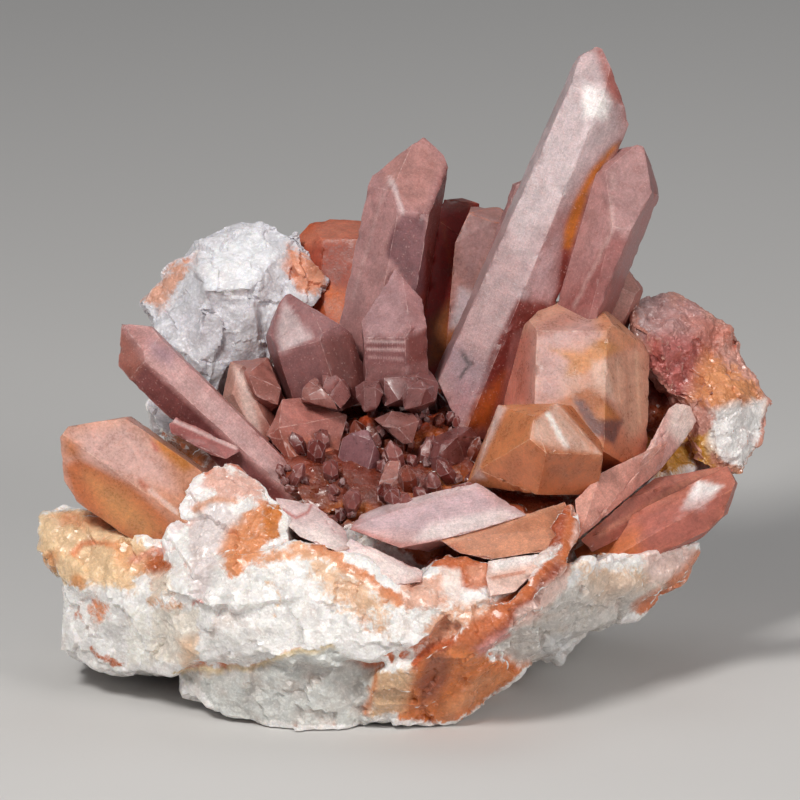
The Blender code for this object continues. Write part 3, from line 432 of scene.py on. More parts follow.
def convex(planes):
    """The closed convex mesh of planes as a bmesh, and its sharp edges."""
    points, _ = corners(planes)
    bm = bmesh.new()
    for p in points:
        bm.verts.new(tuple(p))
    bmesh.ops.convex_hull(bm, input=bm.verts)
    bmesh.ops.delete(bm, geom=[v for v in bm.verts if not v.link_faces], context="VERTS")
    bmesh.ops.dissolve_limit(bm, angle_limit=math.radians(1.0), verts=bm.verts, edges=bm.edges)
    bmesh.ops.recalc_face_normals(bm, faces=bm.faces)
    edges = np.array([[tuple(v.co) for v in e.verts] for e in bm.edges if e.calc_face_angle(0.0) > 0.22])
    return bm, edges


def arrays(bm):
    bm.verts.index_update()
    verts = np.array([tuple(v.co) for v in bm.verts])
    tris = np.array([[v.index for v in f.verts] for f in bm.faces])
    return verts, tris


def refine(bm, length):
    """Splits every edge longer than length."""
    bmesh.ops.triangulate(bm, faces=bm.faces[:])
    for _ in range(9):
        long = [e for e in bm.edges if (e.verts[0].co - e.verts[1].co).length_squared > length * length]
        if not long:
            break
        bmesh.ops.subdivide_edges(bm, edges=long, cuts=1)
        bmesh.ops.triangulate(bm, faces=[f for f in bm.faces if len(f.verts) > 3])


def normals_of(verts, tris):
    a, b, c = verts[tris[:, 0]], verts[tris[:, 1]], verts[tris[:, 2]]
    face = np.cross(b - a, c - a)
    out = np.zeros_like(verts)
    for i in range(3):
        np.add.at(out, tris[:, i], face)
    return out / np.maximum(np.linalg.norm(out, axis=1), 1e-12)[:, None]


def to_segments(verts, segments):
    """How far each vertex is from the nearest of the segments."""
    best = np.full(len(verts), 1e9)
    for a, b in segments:
        ab = b - a
        t = np.clip(((verts - a) @ ab) / max(ab @ ab, 1e-9), 0, 1)
        best = np.minimum(best, np.linalg.norm(verts - a - t[:, None] * ab, axis=1))
    return best


def noises(verts, scale, shift=(0, 0, 0)):
    s = Vector(shift)
    return np.array([noise.noise(Vector(v) * scale + s) for v in verts])


def smooth(verts, tris, times, share=0.5):
    ends = np.concatenate([tris[:, [0, 1]], tris[:, [1, 2]], tris[:, [2, 0]]])
    count = np.bincount(ends[:, 0], minlength=len(verts))[:, None]
    for _ in range(times):
        total = np.zeros_like(verts)
        for i in range(3):
            total[:, i] = np.bincount(ends[:, 0], weights=verts[ends[:, 1], i], minlength=len(verts))
        verts = verts + share * (total / np.maximum(count, 1) - verts)
    return verts


def principal(points):
    points = np.asarray(points)
    _, _, vt = np.linalg.svd(points - points.mean(axis=0))
    a = vt[0] if vt[0][2] > 0 else -vt[0]
    r = unit(np.cross(a, TOWARD))
    return r, np.cross(r, a), a, points.mean(axis=0)


def crystal_mesh(planes, length, bevel, chips=1.0):
    """One crystal: flat faces, narrow worn edges and faint growth waves."""
    bm, edges = convex(planes)
    points = np.array([tuple(v.co) for v in bm.verts])
    r, f, a, base = planes.axes or principal(points)
    bmesh.ops.bevel(bm, geom=bm.edges[:], offset=bevel, segments=2, profile=0.6, affect="EDGES", clamp_overlap=True)
    refine(bm, length)
    verts, tris = arrays(bm)
    bm.free()
    normals = normals_of(verts, tris)
    reach = to_segments(verts, edges)
    wave = noises(verts, 0.35) * 0.07 + noises(verts, 1.3, (5, 1, 9)) * 0.02
    chip = np.maximum(0, noises(verts, 0.9, (3, 8, 1)) - 0.05) * np.exp(-reach / 0.28) * 0.55 * chips
    verts = verts + normals * (wave - chip)[:, None]
    normals = normals_of(verts, tris)
    local = verts - base
    grain = np.stack([local @ r, local @ f, local @ a], axis=1)
    prism = np.clip(1.6 - 3.2 * np.abs(normals @ a), 0, 1)
    return {"verts": verts, "tris": tris, "normals": normals, "grain": grain, "edge": np.exp(-reach / 0.16), "prism": prism,
            "near": np.exp(-reach / 0.9)}


def facets(p, scale, tilt, jump):
    """Broken quartz: each cell of the pattern is its own tilted facet."""
    q = Vector(p) * scale
    centre = noise.voronoi(q)[1][0]
    r = noise.cell_vector(centre * 57.3)
    d = q - centre
    return (d.x * (r.x - 0.5) + d.y * (r.y - 0.5) + d.z * (r.z - 0.5)) * tilt + (r.x - 0.5) * jump


def shake(p, scale):
    p = Vector(p)
    big = noise.noise(p * 0.16) * 1.3
    cells = noise.voronoi(p * 0.22)[0]
    chip = (cells[1] - cells[0]) * 1.1 - 0.45
    small = noise.noise(p * 0.55 + Vector((31, 7, 3))) * 0.45
    return (big + chip + small) * scale


def melted(members, voxel):
    """One closed mesh of several convex solids."""
    bm = bmesh.new()
    for planes in members:
        points, _ = corners(planes)
        bmesh.ops.convex_hull(bm, input=[bm.verts.new(tuple(v)) for v in points])
    mesh = bpy.data.meshes.new("melt")
    bm.to_mesh(mesh)
    bm.free()
    obj = bpy.data.objects.new("melt", mesh)
    bpy.context.scene.collection.objects.link(obj)
    remesh = obj.modifiers.new("grain", "REMESH")
    remesh.mode = "VOXEL"
    remesh.voxel_size = voxel
    graph = bpy.context.evaluated_depsgraph_get()
    made = bpy.data.meshes.new_from_object(obj.evaluated_get(graph))
    bpy.data.objects.remove(obj)
    bm = bmesh.new()
    bm.from_mesh(made)
    bmesh.ops.triangulate(bm, faces=bm.faces[:])
    verts, tris = arrays(bm)
    bm.free()
    return verts, tris


def rough_mesh(members, voxel, out, inward, tilt, jump, facet_scale, soften):
    """Broken rock: the melted lumps, shaken out of true and broken into small facets."""
    verts, tris = melted(members, voxel)
    verts = smooth(verts, tris, soften)
    normals = normals_of(verts, tris)
    stand = np.array([shake(v, out) for v in verts])
    if inward:
        stand = np.minimum(-0.15, stand - out * 0.55)
    verts = verts + normals * stand[:, None]
    normals = normals_of(smooth(verts, tris, 2), tris)
    fine = np.array([facets(v, facet_scale, tilt, jump) + facets(v, facet_scale * 2.6, tilt * 0.17, jump * 0.2) for v in verts])
    fine += noises(verts, 2.2) * 0.05
    verts = verts + normals * fine[:, None]
    normals = normals_of(verts, tris)
    flat = smooth(verts, tris, 14, 0.6)
    hollow = np.einsum("ij,ij->i", flat - verts, normals)
    return {"verts": verts, "tris": tris, "normals": normals, "grain": verts.copy(), "edge": np.clip(-hollow / 0.25, 0, 1),
            "prism": np.clip(hollow / 0.35, 0, 1), "near": np.zeros(len(verts))}


# ---------------------------------------------------------------- painting the stone


def srgb(colour):
    c = np.asarray(colour, float) / 255
    return np.where(c <= 0.04045, c / 12.92, ((c + 0.055) / 1.055) ** 2.4)


def inside(x, y, polygon, feather):
    """1 inside the polygon, 0 outside, with an edge feather wide."""
    best = np.full(len(x), 1e9)
    odd = np.zeros(len(x), bool)
    for (x1, y1), (x2, y2) in zip(polygon, polygon[1:] + polygon[:1]):
        dx, dy = x2 - x1, y2 - y1
        t = np.clip(((x - x1) * dx + (y - y1) * dy) / max(dx * dx + dy * dy, 1e-9), 0, 1)
        best = np.minimum(best, np.hypot(x - x1 - t * dx, y - y1 - t * dy))
        crosses = (y1 > y) != (y2 > y)
        at = x1 + (y - y1) * dx / (dy if dy else 1e-9)
        odd ^= crosses & (x < at)
    signed = np.where(odd, best, -best)
    return np.clip(0.5 + signed / (2 * feather), 0, 1)


def along(x, y, line, width, feather):
    best = np.full(len(x), 1e9)
    for (x1, y1), (x2, y2) in zip(line, line[1:]):
        dx, dy = x2 - x1, y2 - y1
        t = np.clip(((x - x1) * dx + (y - y1) * dy) / max(dx * dx + dy * dy, 1e-9), 0, 1)
        best = np.minimum(best, np.hypot(x - x1 - t * dx, y - y1 - t * dy))
    return np.clip(1 - (best - width) / feather, 0, 1)


def spot(x, y, cx, cy, rx, ry, turn=0.0):
    c, s = math.cos(math.radians(turn)), math.sin(math.radians(turn))
    u, v = (x - cx) * c + (y - cy) * s, -(x - cx) * s + (y - cy) * c
    return np.clip(1.6 * (1 - np.hypot(u / rx, v / ry)), 0, 1)


def paint(part, name, index, wander):
    """The colour of every vertex: the crystal's own, its faces' random tones and a painted shade on faces turned away
    from the key lamp, then its stains, painted shadows, painted shade, painted glow and painted highlights.
    """
    x, y, w = sheet(part["verts"])
    front = np.clip((part["normals"] @ TOWARD + 0.05) / 0.2, 0, 1)
    shape = SHADES[name][min(index, len(SHADES[name]) - 1)]
    body, deep = srgb(shape[0]), srgb(shape[1])
    h = part["grain"][:, 2]
    low = np.clip(1 - (h - h.min()) / max(shape[2], 0.1), 0, 1)
    colour = body + (deep - body) * low[:, None]
    if wander:
        n1, n2 = noises(part["verts"], 0.45, (9, 2, 4)), noises(part["verts"], 0.45, (1, 7, 2))
        n3 = noises(part["verts"], 1.4, (4, 4, 2))
        x, y = x + wander * (n1 + 0.5 * n3), y + wander * (n2 - 0.5 * n3)
    else:
        facing = np.round(part["normals"] * 4)
        tone = np.sin(facing @ np.array([12.9, 78.2, 37.7])) * 0.5
        colour = colour * (1 + 0.11 * tone)[:, None]
        # Painted shade: faces turned away from the key lamp (upper left, in front) are darkened and reddened.
        seen = np.clip(0.5 + 1.3 * (part["normals"] @ unit((-0.45, -0.65, 0.60)) - 0.42), 0, 1)[:, None]
        colour = colour * (1 - (1 - seen) * np.array([0.22, 0.36, 0.36]))
    under, bare = colour.copy(), np.ones(len(colour))
    if name in CREVICES:
        stain, strength = CREVICES[name]
        hollow = part["prism"]
        spread = np.clip(noises(part["verts"], 0.12, (2, 6, 6)) * 1.6 + 0.55, 0, 1)
        colour = colour + (srgb(stain) - colour) * (hollow * spread * strength)[:, None]
        bare = bare * (1 - hollow * spread * strength)
    for mark in MARKS.get((name, index), []) + MARKS.get(name, []):
        kind, data, tint, strength = mark[:4]
        if kind == "area":
            cover = inside(x, y, data[0], data[1])
        elif kind == "line":
            cover = along(x, y, data[0], data[1], data[2])
        elif kind == "spot":
            cover = spot(x, y, *data)
        elif kind == "low":
            cover = np.clip((y - data[0]) / (data[1] - data[0]), 0, 1)
        # The side kind paints the faces turned one way; the marks use it for painted shade on faces turned away from
        # the key lamp.
        elif kind == "side":
            cover = np.clip((part["normals"] @ unit(data[0]) - data[1]) / data[2], 0, 1)
        if not (len(mark) > 4 and mark[4] == "all"):
            cover = cover * front
        colour = colour + (srgb(tint) - colour) * (cover * strength)[:, None]
        bare = bare * (1 - cover * strength)
    # For the rough rock the marks, iron stains together with the painted shade and painted light in the gaps, are kept
    # apart as the stain colour and its cover; the shader lays them on with ragged edges.
    if wander:
        stain = (colour - under * bare[:, None]) / np.maximum(1 - bare, 0.03)[:, None]
        part["stain"], part["cover"] = np.clip(stain, 0.002, 1), 1 - bare
        colour = under
    return np.clip(colour, 0.002, 1)


def object_of(name, parts):
    """One mesh of the parts, in metres, with their paint and their grain."""
    verts, tris, offset = [], [], 0
    for part in parts:
        verts.append(part["verts"])
        tris.append(part["tris"] + offset)
        offset += len(part["verts"])
    verts, tris = np.concatenate(verts), np.concatenate(tris)
    verts = (verts + SHIFT) / 1000
    verts[:, 2] = np.maximum(verts[:, 2], 0.0)
    mesh = bpy.data.meshes.new(name)
    mesh.from_pydata(verts.tolist(), [], tris.tolist())
    mesh.polygons.foreach_set("use_smooth", np.ones(len(tris), bool))
    mesh.set_sharp_from_angle(angle=math.radians(SHARP.get(name, 17)))
    colours = np.concatenate([part["colour"] for part in parts])
    layer = mesh.attributes.new("stone", "FLOAT_COLOR", "POINT")
    layer.data.foreach_set("color", np.concatenate([colours, np.ones((len(colours), 1))], axis=1).astype(np.float32).ravel())
    if "stain" in parts[0]:
        stains = np.concatenate([part["stain"] for part in parts])
        layer = mesh.attributes.new("stain", "FLOAT_COLOR", "POINT")
        layer.data.foreach_set("color", np.concatenate([stains, np.ones((len(stains), 1))], axis=1).astype(np.float32).ravel())
        layer = mesh.attributes.new("cover", "FLOAT", "POINT")
        layer.data.foreach_set("value", np.concatenate([part["cover"] for part in parts]).astype(np.float32))
    layer = mesh.attributes.new("grain", "FLOAT_VECTOR", "POINT")
    grain = np.concatenate([part["grain"] + 17.0 * i for i, part in enumerate(parts)])
    layer.data.foreach_set("vector", grain.astype(np.float32).ravel())
    for key in ("edge", "prism", "near"):
        layer = mesh.attributes.new(key, "FLOAT", "POINT")
        layer.data.foreach_set("value", np.concatenate([part[key] for part in parts]).astype(np.float32))
    obj = bpy.data.objects.new(name, mesh)
    bpy.context.scene.collection.objects.link(obj)
    return obj

# ---------------------------------------------------------------- colours, 0 to 255 as seen

# The colour of each crystal, its colour down by the root, and how far up the root colour reaches (mm).
SHADES = {
    "tall_crystal": [((188, 155, 155), (168, 118, 116), 16), ((172, 122, 120), (120, 60, 54), 8)],
    "right_tall_crystal": [((182, 136, 134), (164, 104, 98), 9)],
    "centre_crystals": [((184, 136, 134), (140, 80, 76), 12), ((172, 126, 126), (118, 66, 62), 9)],
    "left_centre_crystal": [((156, 106, 106), (116, 62, 58), 10)],
    "long_blade_crystal": [((198, 148, 144), (164, 100, 94), 12)],
    "left_orange_crystal": [((222, 168, 148), (208, 140, 104), 10)],
    "right_stubby_pair": [((208, 156, 134), (196, 112, 66), 8), ((206, 132, 86), (176, 92, 50), 3)],
    "white_block": [((214, 212, 217), (208, 202, 202), 6)],
    "back_left_crystal": [((196, 92, 52), (186, 96, 36), 8)],
    "back_crystals": [((184, 132, 124), (150, 70, 50), 8), ((120, 46, 26), (140, 60, 20), 8)],
    "left_small_crystals": [((190, 140, 126), (150, 84, 70), 4), ((164, 106, 96), (140, 84, 74), 4)],
    "pink_stubby_crystal": [((184, 118, 108), (160, 88, 72), 4)],
    "left_plate_crystal": [((170, 102, 98), (140, 76, 70), 2)],
    "druse_prism": [((140, 94, 98), (112, 44, 36), 5)],
    "druse_right_crystal": [((132, 78, 76), (84, 36, 34), 3)],
    "druse_centre_crystals": [((136, 88, 86), (92, 44, 42), 2)],
    "druse_front_crystal": [((148, 98, 92), (104, 56, 48), 2)],
    "druse_upper_left_crystal": [((146, 94, 90), (104, 56, 50), 2)],
    "druse_left_crystal": [((156, 100, 92), (112, 58, 50), 2)],
    "druse_low_left_crystal": [((164, 106, 100), (120, 62, 54), 2)],
    "druse_tiny_crystal": [((164, 106, 98), (124, 66, 56), 1)],
    "druse_column": [((174, 116, 106), (126, 66, 54), 2)],
    "druse_low_right_crystal": [((156, 98, 90), (112, 58, 48), 2)],
    "right_back_crystal": [((190, 140, 130), (170, 100, 84), 4)],
    "red_crusted_block": [((196, 140, 126), (190, 130, 90), 6)],
    "curved_blade_crystal": [((234, 188, 178), (210, 142, 122), 3), ((222, 162, 146), (196, 112, 84), 3)],
    "right_rear_prism": [((186, 116, 100), (164, 84, 56), 6)],
    "right_front_prism": [((190, 112, 92), (196, 112, 66), 9)],
    "front_slab": [((214, 172, 166), (196, 140, 128), 2), ((206, 140, 108), (186, 106, 74), 2)],
    "front_left_slab": [((228, 200, 198), (206, 150, 134), 1.5)],
    "front_step_slab": [((230, 192, 178), (206, 150, 128), 1.5)],
    "matrix": [((243, 239, 236), (238, 232, 227), 4)],
    "grown_points": [((132, 66, 60), (92, 30, 20), 1.2), ((112, 46, 40), (80, 22, 14), 1.2), ((150, 88, 82), (104, 40, 30), 1.2), ((128, 56, 36), (96, 30, 14), 1.2)],
}

# Iron stains that gather in the hollows of the rough rock.
CREVICES = {"matrix": ((206, 112, 62), 0.85), "white_block": ((206, 150, 120), 0.25), "red_crusted_block": ((140, 60, 40), 0.6)}

ORANGE, AMBER, RED, DARK = (206, 110, 56), (196, 108, 30), (132, 34, 16), (84, 20, 14)
PALE, WHITE, CREAM, GREY = (234, 208, 202), (240, 236, 234), (240, 226, 204), (196, 190, 186)

# Stains and worn patches, painted shadows, painted shade, painted glow and painted highlights: for a solid, or for one
# of its crystals.
MARKS = {
    ("tall_crystal", 0): [
        # Painted shade: the faces turned right, away from the key lamp, in dark red.
        ("side", ((0.94, -0.1, 0.0), 0.55, 0.2), (150, 50, 26), 0.9, "all"),
        ("area", ([(560, 56), (606, 62), (626, 130), (560, 210), (520, 250), (500, 200)], 14), (210, 192, 194), 0.75),
        # Painted highlight: the bright reflection on the upper face.
        ("area", ([(583, 80), (612, 96), (606, 120), (584, 116)], 4), (248, 242, 240), 0.9),
        ("area", ([(594, 47), (602, 46), (626, 104), (610, 98)], 4), (164, 90, 80), 0.9),
        ("area", ([(570, 60), (590, 48), (600, 60), (600, 96), (582, 84)], 6), (214, 190, 190), 0.5),
        # Painted light on the lit top of the right face. Below it, a painted shadow cast by the stubby pair, with a
        # painted amber glow at its lower end.
        ("area", ([(560, 230), (556, 300), (517, 298), (530, 262)], 10), (214, 188, 192), 0.5),
        ("area", ([(517, 299), (557, 306), (558, 316), (513, 333), (507, 362), (500, 392), (488, 426), (463, 428), (478, 388), (491, 352)], 2), (112, 26, 18), 0.95),
        ("area", ([(506, 372), (500, 400), (488, 428), (466, 428), (482, 396)], 6), (190, 92, 30), 0.85),
        ("area", ([(444, 348), (456, 342), (486, 366), (482, 386), (466, 400), (446, 380)], 7), (150, 122, 130), 0.75),
        ("area", ([(452, 376), (480, 384), (464, 420), (452, 408)], 6), (154, 102, 108), 0.6),
        ("line", ([(459, 350), (465, 358), (468, 366), (460, 378)], 0.6, 1.8), (50, 26, 32), 0.9),
        ("line", ([(465, 358), (474, 364)], 0.5, 1.6), (60, 34, 40), 0.7),
        # Painted shadow of the right tall crystal on this face: a painted amber glow above, and dark red shade below.
        ("area", ([(622, 142), (606, 162), (589, 189), (580, 220), (570, 252), (563, 248), (564, 231), (574, 202), (591, 170), (612, 146)], 2.5), (190, 104, 20), 0.98),
        ("area", ([(563, 247), (571, 252), (562, 306), (552, 306), (557, 290)], 2.5), (116, 26, 10), 0.95),
    ],
    ("tall_crystal", 1): [],
    ("right_tall_crystal", 0): [
        ("area", ([(612, 232), (630, 240), (600, 306), (560, 312), (590, 270)], 4), (150, 84, 80), 0.75),
        ("area", ([(618, 158), (643, 146), (652, 180), (632, 236), (612, 230), (612, 196)], 4), (186, 146, 144), 0.5),
        ("line", ([(614, 170), (611, 196), (612, 232), (574, 306)], 0.8, 2.0), (214, 178, 172), 0.5),
    ],
    ("centre_crystals", 0): [
        # Painted shade: the faces turned right, away from the key lamp, in dark red. Then the painted shadow of the
        # tall crystal on the right face, and painted shade on the front right face.
        ("side", ((0.94, -0.1, 0.0), 0.55, 0.2), (116, 26, 14), 0.9, "all"),
        ("area", ([(446, 166), (429, 214), (424, 292), (440, 304), (450, 200)], 2.5), (92, 18, 12), 0.95),
        ("area", ([(404, 213), (426, 215), (424, 290), (416, 300), (397, 267), (386, 256), (391, 231)], 2), (112, 66, 72), 0.85),
        ("area", ([(382, 160), (424, 140), (444, 164), (424, 206), (404, 206), (384, 180)], 6), (182, 128, 118), 0.6),
        ("line", ([(390, 178), (396, 192), (402, 212)], 1.4, 2.2), (220, 196, 196), 0.85),
        ("line", ([(392, 178), (385, 188), (352, 300)], 0.6, 2.0), (204, 168, 164), 0.4),
    ],
    ("centre_crystals", 1): [
        ("area", ([(389, 262), (362, 315), (367, 336), (404, 333), (406, 319), (395, 269)], 2), (176, 138, 140), 0.6),
        ("area", ([(366, 338), (406, 338), (408, 366), (366, 366)], 2), (128, 76, 76), 0.75),
        ("line", ([(367, 341), (404, 342)], 0.7, 1.2), (206, 174, 172), 0.8),
        ("line", ([(368, 349), (404, 350)], 0.7, 1.2), (206, 170, 168), 0.8),
        ("line", ([(369, 357), (402, 359)], 0.6, 1.2), (200, 160, 158), 0.6),
        # Painted shade: the lower right face, turned away from the key lamp, in dark red.
        ("area", ([(407, 338), (428, 328), (434, 360), (408, 364)], 2.5), (108, 44, 38), 0.85),
    ],
    ("left_centre_crystal", 0): [
        # Painted highlight: the upper left facet that catches the key lamp.
        ("area", ([(284, 300), (313, 338), (280, 353), (276, 330)], 2), (204, 182, 182), 0.9),
        ("area", ([(290, 296), (312, 300), (348, 330), (320, 340), (300, 318)], 4), (150, 104, 104), 0.6),
        # Painted shade: the right side, turned away from the key lamp.
        ("area", ([(318, 342), (352, 330), (368, 370), (356, 390), (330, 390)], 4), (112, 60, 54), 0.7),
        ("area", ([(276, 356), (316, 342), (330, 390), (300, 398), (280, 384)], 4), (124, 78, 78), 0.6),
    ],
    ("long_blade_crystal", 0): [
        # Painted light on the upward face.
        ("area", ([(140, 330), (162, 344), (300, 486), (290, 498), (150, 360)], 6), (204, 168, 166), 0.6),
        ("area", ([(118, 330), (140, 326), (156, 340), (140, 358), (124, 352)], 5), (186, 132, 128), 0.6),
        # Painted shade on the downward face.
        ("area", ([(116, 363), (146, 364), (290, 500), (300, 512), (240, 486), (132, 384)], 3), (118, 60, 60), 0.92),
        ("area", ([(117, 326), (130, 340), (144, 362), (132, 384), (115, 364)], 4), (164, 96, 80), 0.8),
        ("area", ([(150, 340), (176, 352), (170, 366), (152, 356)], 6), (150, 116, 132), 0.6),
    ],
    ("left_orange_crystal", 0): [
        ("area", ([(64, 466), (78, 458), (130, 484), (168, 520), (176, 548), (160, 556), (126, 540), (92, 518), (74, 496)], 3), (204, 112, 58), 0.95),
        ("area", ([(86, 474), (124, 492), (160, 528), (150, 540), (110, 522)], 9), (226, 166, 104), 0.6),
        ("area", ([(147, 426), (160, 430), (196, 466), (184, 472), (160, 452)], 4), (196, 120, 44), 0.9),
        ("area", ([(64, 438), (82, 444), (80, 458), (66, 456)], 4), (208, 120, 60), 0.8),
        ("area", ([(74, 434), (128, 424), (160, 458), (176, 490), (120, 474), (84, 456)], 8), (214, 176, 170), 0.7),
        ("line", ([(152, 442), (158, 450)], 0.8, 2), (190, 90, 76), 0.7),
        ("line", ([(140, 482), (162, 500)], 1.0, 2.5), (190, 96, 66), 0.7),
        ("line", ([(150, 490), (176, 512)], 1.4, 2.0), (240, 216, 206), 0.6),
    ],
    ("right_stubby_pair", 0): [
        ("area", ([(508, 334), (534, 332), (532, 404), (498, 410)], 5), (204, 118, 104), 0.75),
        ("area", ([(534, 330), (590, 312), (604, 336), (570, 350), (560, 400), (534, 404)], 10), (202, 160, 156), 0.8),
        ("area", ([(548, 348), (582, 353), (604, 336), (624, 349), (606, 358), (584, 374), (566, 376), (570, 360)], 3), (212, 144, 92), 0.9),
        ("area", ([(592, 304), (612, 312), (645, 342), (622, 350), (600, 330)], 5), (216, 146, 108), 0.8),
        ("area", ([(602, 360), (646, 346), (650, 430), (630, 438), (616, 403), (596, 386)], 4), (206, 152, 128), 0.8),
        ("line", ([(636, 350), (640, 424)], 0.6, 1.4), (226, 180, 152), 0.6),
        ("line", ([(626, 354), (628, 420)], 0.5, 1.4), (186, 126, 104), 0.6),
        ("line", ([(617, 358), (620, 400)], 0.5, 1.4), (224, 178, 154), 0.5),
        ("area", ([(591, 362), (606, 360), (615, 402), (597, 384)], 2.5), (222, 184, 166), 0.8),
        ("area", ([(557, 401), (591, 387), (622, 418), (614, 442), (597, 438)], 2), (172, 98, 50), 0.9),
        ("area", ([(572, 398), (584, 400), (596, 419), (624, 420), (614, 444), (592, 434)], 2), (92, 54, 56), 0.85),
        ("area", ([(594, 408), (606, 404), (614, 416), (600, 420)], 3), (186, 116, 64), 0.8),
        ("area", ([(516, 336), (540, 322), (584, 308), (576, 324), (536, 336)], 5), (196, 132, 116), 0.5),
    ],
    ("right_stubby_pair", 1): [
        ("area", ([(557, 402), (532, 424), (530, 438), (551, 451), (602, 454)], 2), (216, 178, 162), 0.85),
        ("line", ([(548, 414), (566, 446)], 1.5, 2.5), (250, 244, 238), 0.8),
        ("line", ([(560, 410), (592, 448)], 0.8, 2.5), (206, 140, 110), 0.6),
        ("area", ([(498, 406), (532, 416), (528, 440), (480, 470)], 6), (206, 126, 80), 0.75),
        ("area", ([(486, 478), (478, 468), (506, 408), (498, 402), (472, 480)], 2.5), (224, 196, 190), 0.8),
        ("area", ([(532, 442), (603, 456), (598, 494), (538, 494)], 5), (184, 104, 62), 0.75),
        ("area", ([(490, 472), (530, 442), (536, 492), (500, 500)], 6), (196, 116, 76), 0.6),
    ],
    "white_block": [
        ("area", ([(140, 300), (172, 262), (196, 256), (184, 280), (160, 312)], 7), (216, 160, 136), 0.8),
        ("area", ([(286, 240), (326, 268), (324, 298), (296, 292), (282, 262)], 7), (222, 148, 116), 0.8),
        ("area", ([(196, 246), (262, 226), (280, 262), (240, 300), (204, 292)], 12), (238, 238, 242), 0.8),
        ("area", ([(160, 310), (210, 300), (236, 362), (186, 352)], 10), (216, 212, 218), 0.6),
        ("area", ([(240, 306), (270, 290), (262, 350), (240, 360)], 8), (228, 224, 228), 0.6),
    ],
    ("back_left_crystal", 0): [
        ("area", ([(296, 238), (330, 220), (366, 220), (364, 236), (312, 250)], 4), (206, 122, 96), 0.85),
        ("area", ([(300, 252), (322, 240), (362, 240), (352, 290), (322, 284)], 6), (160, 66, 46), 0.8),
        ("area", ([(326, 284), (346, 292), (342, 322), (326, 310)], 4), (232, 116, 48), 0.9),
    ],
    ("back_crystals", 0): [
        ("area", ([(456, 235), (469, 214), (503, 225), (486, 256), (467, 292)], 6), (178, 142, 142), 0.6),
        ("area", ([(460, 286), (448, 334), (466, 322), (476, 294)], 3), (230, 208, 212), 0.9),
        ("area", ([(444, 330), (466, 326), (452, 366), (440, 366)], 4), (176, 96, 30), 0.8),
    ],
    ("back_crystals", 1): [
        ("low", (180, 181), (154, 20, 10), 0.95, "all"),
        ("area", ([(430, 322), (450, 300), (452, 356), (428, 366)], 5), (170, 96, 24), 0.85),
        ("area", ([(444, 198), (462, 196), (480, 204), (466, 212), (446, 208)], 3), (146, 58, 38), 0.7),
        ("line", ([(442, 220), (450, 260), (456, 300)], 0.7, 2), (170, 60, 20), 0.7),
    ],
    ("left_small_crystals", 0): [
        ("area", ([(232, 366), (244, 372), (262, 436), (246, 420)], 3), (226, 196, 186), 0.8),
    ],
    ("pink_stubby_crystal", 0): [
        ("area", ([(290, 440), (336, 440), (334, 458), (296, 464)], 6), (196, 106, 70), 0.6),
    ],
    ("left_plate_crystal", 0): [
        ("line", ([(172, 420), (236, 448)], 1.0, 2.0), (226, 192, 188), 0.8),
        ("area", ([(170, 430), (214, 452), (226, 460), (206, 458), (168, 438)], 3), (130, 64, 62), 0.7),
    ],
    "red_crusted_block": [
        ("area", ([(632, 294), (660, 290), (672, 320), (652, 340), (634, 330)], 8), (176, 156, 156), 0.8),
        ("area", ([(640, 290), (700, 296), (720, 330), (680, 350), (650, 330)], 9), (178, 128, 124), 0.7),
        ("area", ([(648, 336), (712, 340), (700, 372), (676, 404), (646, 366)], 9), (184, 98, 92), 0.8),
        ("area", ([(706, 350), (760, 384), (766, 410), (740, 420), (690, 400)], 9), (216, 142, 92), 0.85),
        ("area", ([(690, 320), (736, 322), (742, 352), (706, 350)], 8), (196, 116, 96), 0.6),
        ("area", ([(712, 410), (766, 398), (760, 440), (742, 472), (710, 452)], 5), (236, 232, 230), 0.95),
        ("area", ([(650, 436), (708, 432), (716, 470), (660, 478)], 7), (196, 142, 48), 0.85),
    ],
    ("curved_blade_crystal", 0): [
        ("area", ([(672, 402), (692, 404), (698, 424), (682, 446), (668, 430)], 4), (244, 222, 214), 0.85),
    ],
    ("curved_blade_crystal", 1): [
        ("line", ([(600, 470), (640, 452), (668, 436)], 1.0, 3.0), (236, 196, 184), 0.6),
    ],
    ("right_rear_prism", 0): [
        ("line", ([(600, 534), (700, 474), (734, 468)], 1.2, 3), (206, 136, 112), 0.6),
    ],
    ("right_front_prism", 0): [
        # Painted highlight: the end facet that catches the light, nearly white.
        ("area", ([(697, 480), (722, 486), (702, 509), (680, 511)], 2), (248, 240, 238), 0.97),
        ("area", ([(582, 552), (640, 530), (640, 570), (590, 560)], 8), (206, 112, 56), 0.85),
        ("area", ([(640, 514), (690, 500), (728, 492), (700, 538), (640, 548)], 6), (176, 98, 88), 0.6),
    ],
    ("front_slab", 0): [
        ("line", ([(366, 516), (404, 503), (474, 484)], 1.4, 3), (240, 224, 222), 0.6),
        ("area", ([(366, 512), (404, 504), (476, 484), (524, 514), (440, 538), (352, 530)], 8), (208, 180, 188), 0.7),
        ("area", ([(430, 524), (500, 508), (526, 515), (440, 542), (410, 544)], 4), (240, 226, 222), 0.7),
        ("line", ([(352, 530), (400, 546), (440, 542)], 1.5, 3), (190, 104, 92), 0.6),
    ],
    ("front_slab", 1): [
        ("line", ([(440, 544), (500, 524), (560, 504)], 1.0, 3), (226, 170, 140), 0.6),
    ],
    ("front_left_slab", 0): [
        ("line", ([(283, 510), (296, 518), (308, 512), (312, 504)], 0.7, 1.5), (190, 110, 104), 0.9),
        ("area", ([(284, 522), (320, 528), (346, 544), (338, 553), (300, 540)], 6), (246, 228, 222), 0.8),
    ],
    ("front_left_slab", 1): [
        ("line", ([(346, 532), (380, 548), (412, 566)], 0.9, 2.0), (184, 84, 76), 0.85),
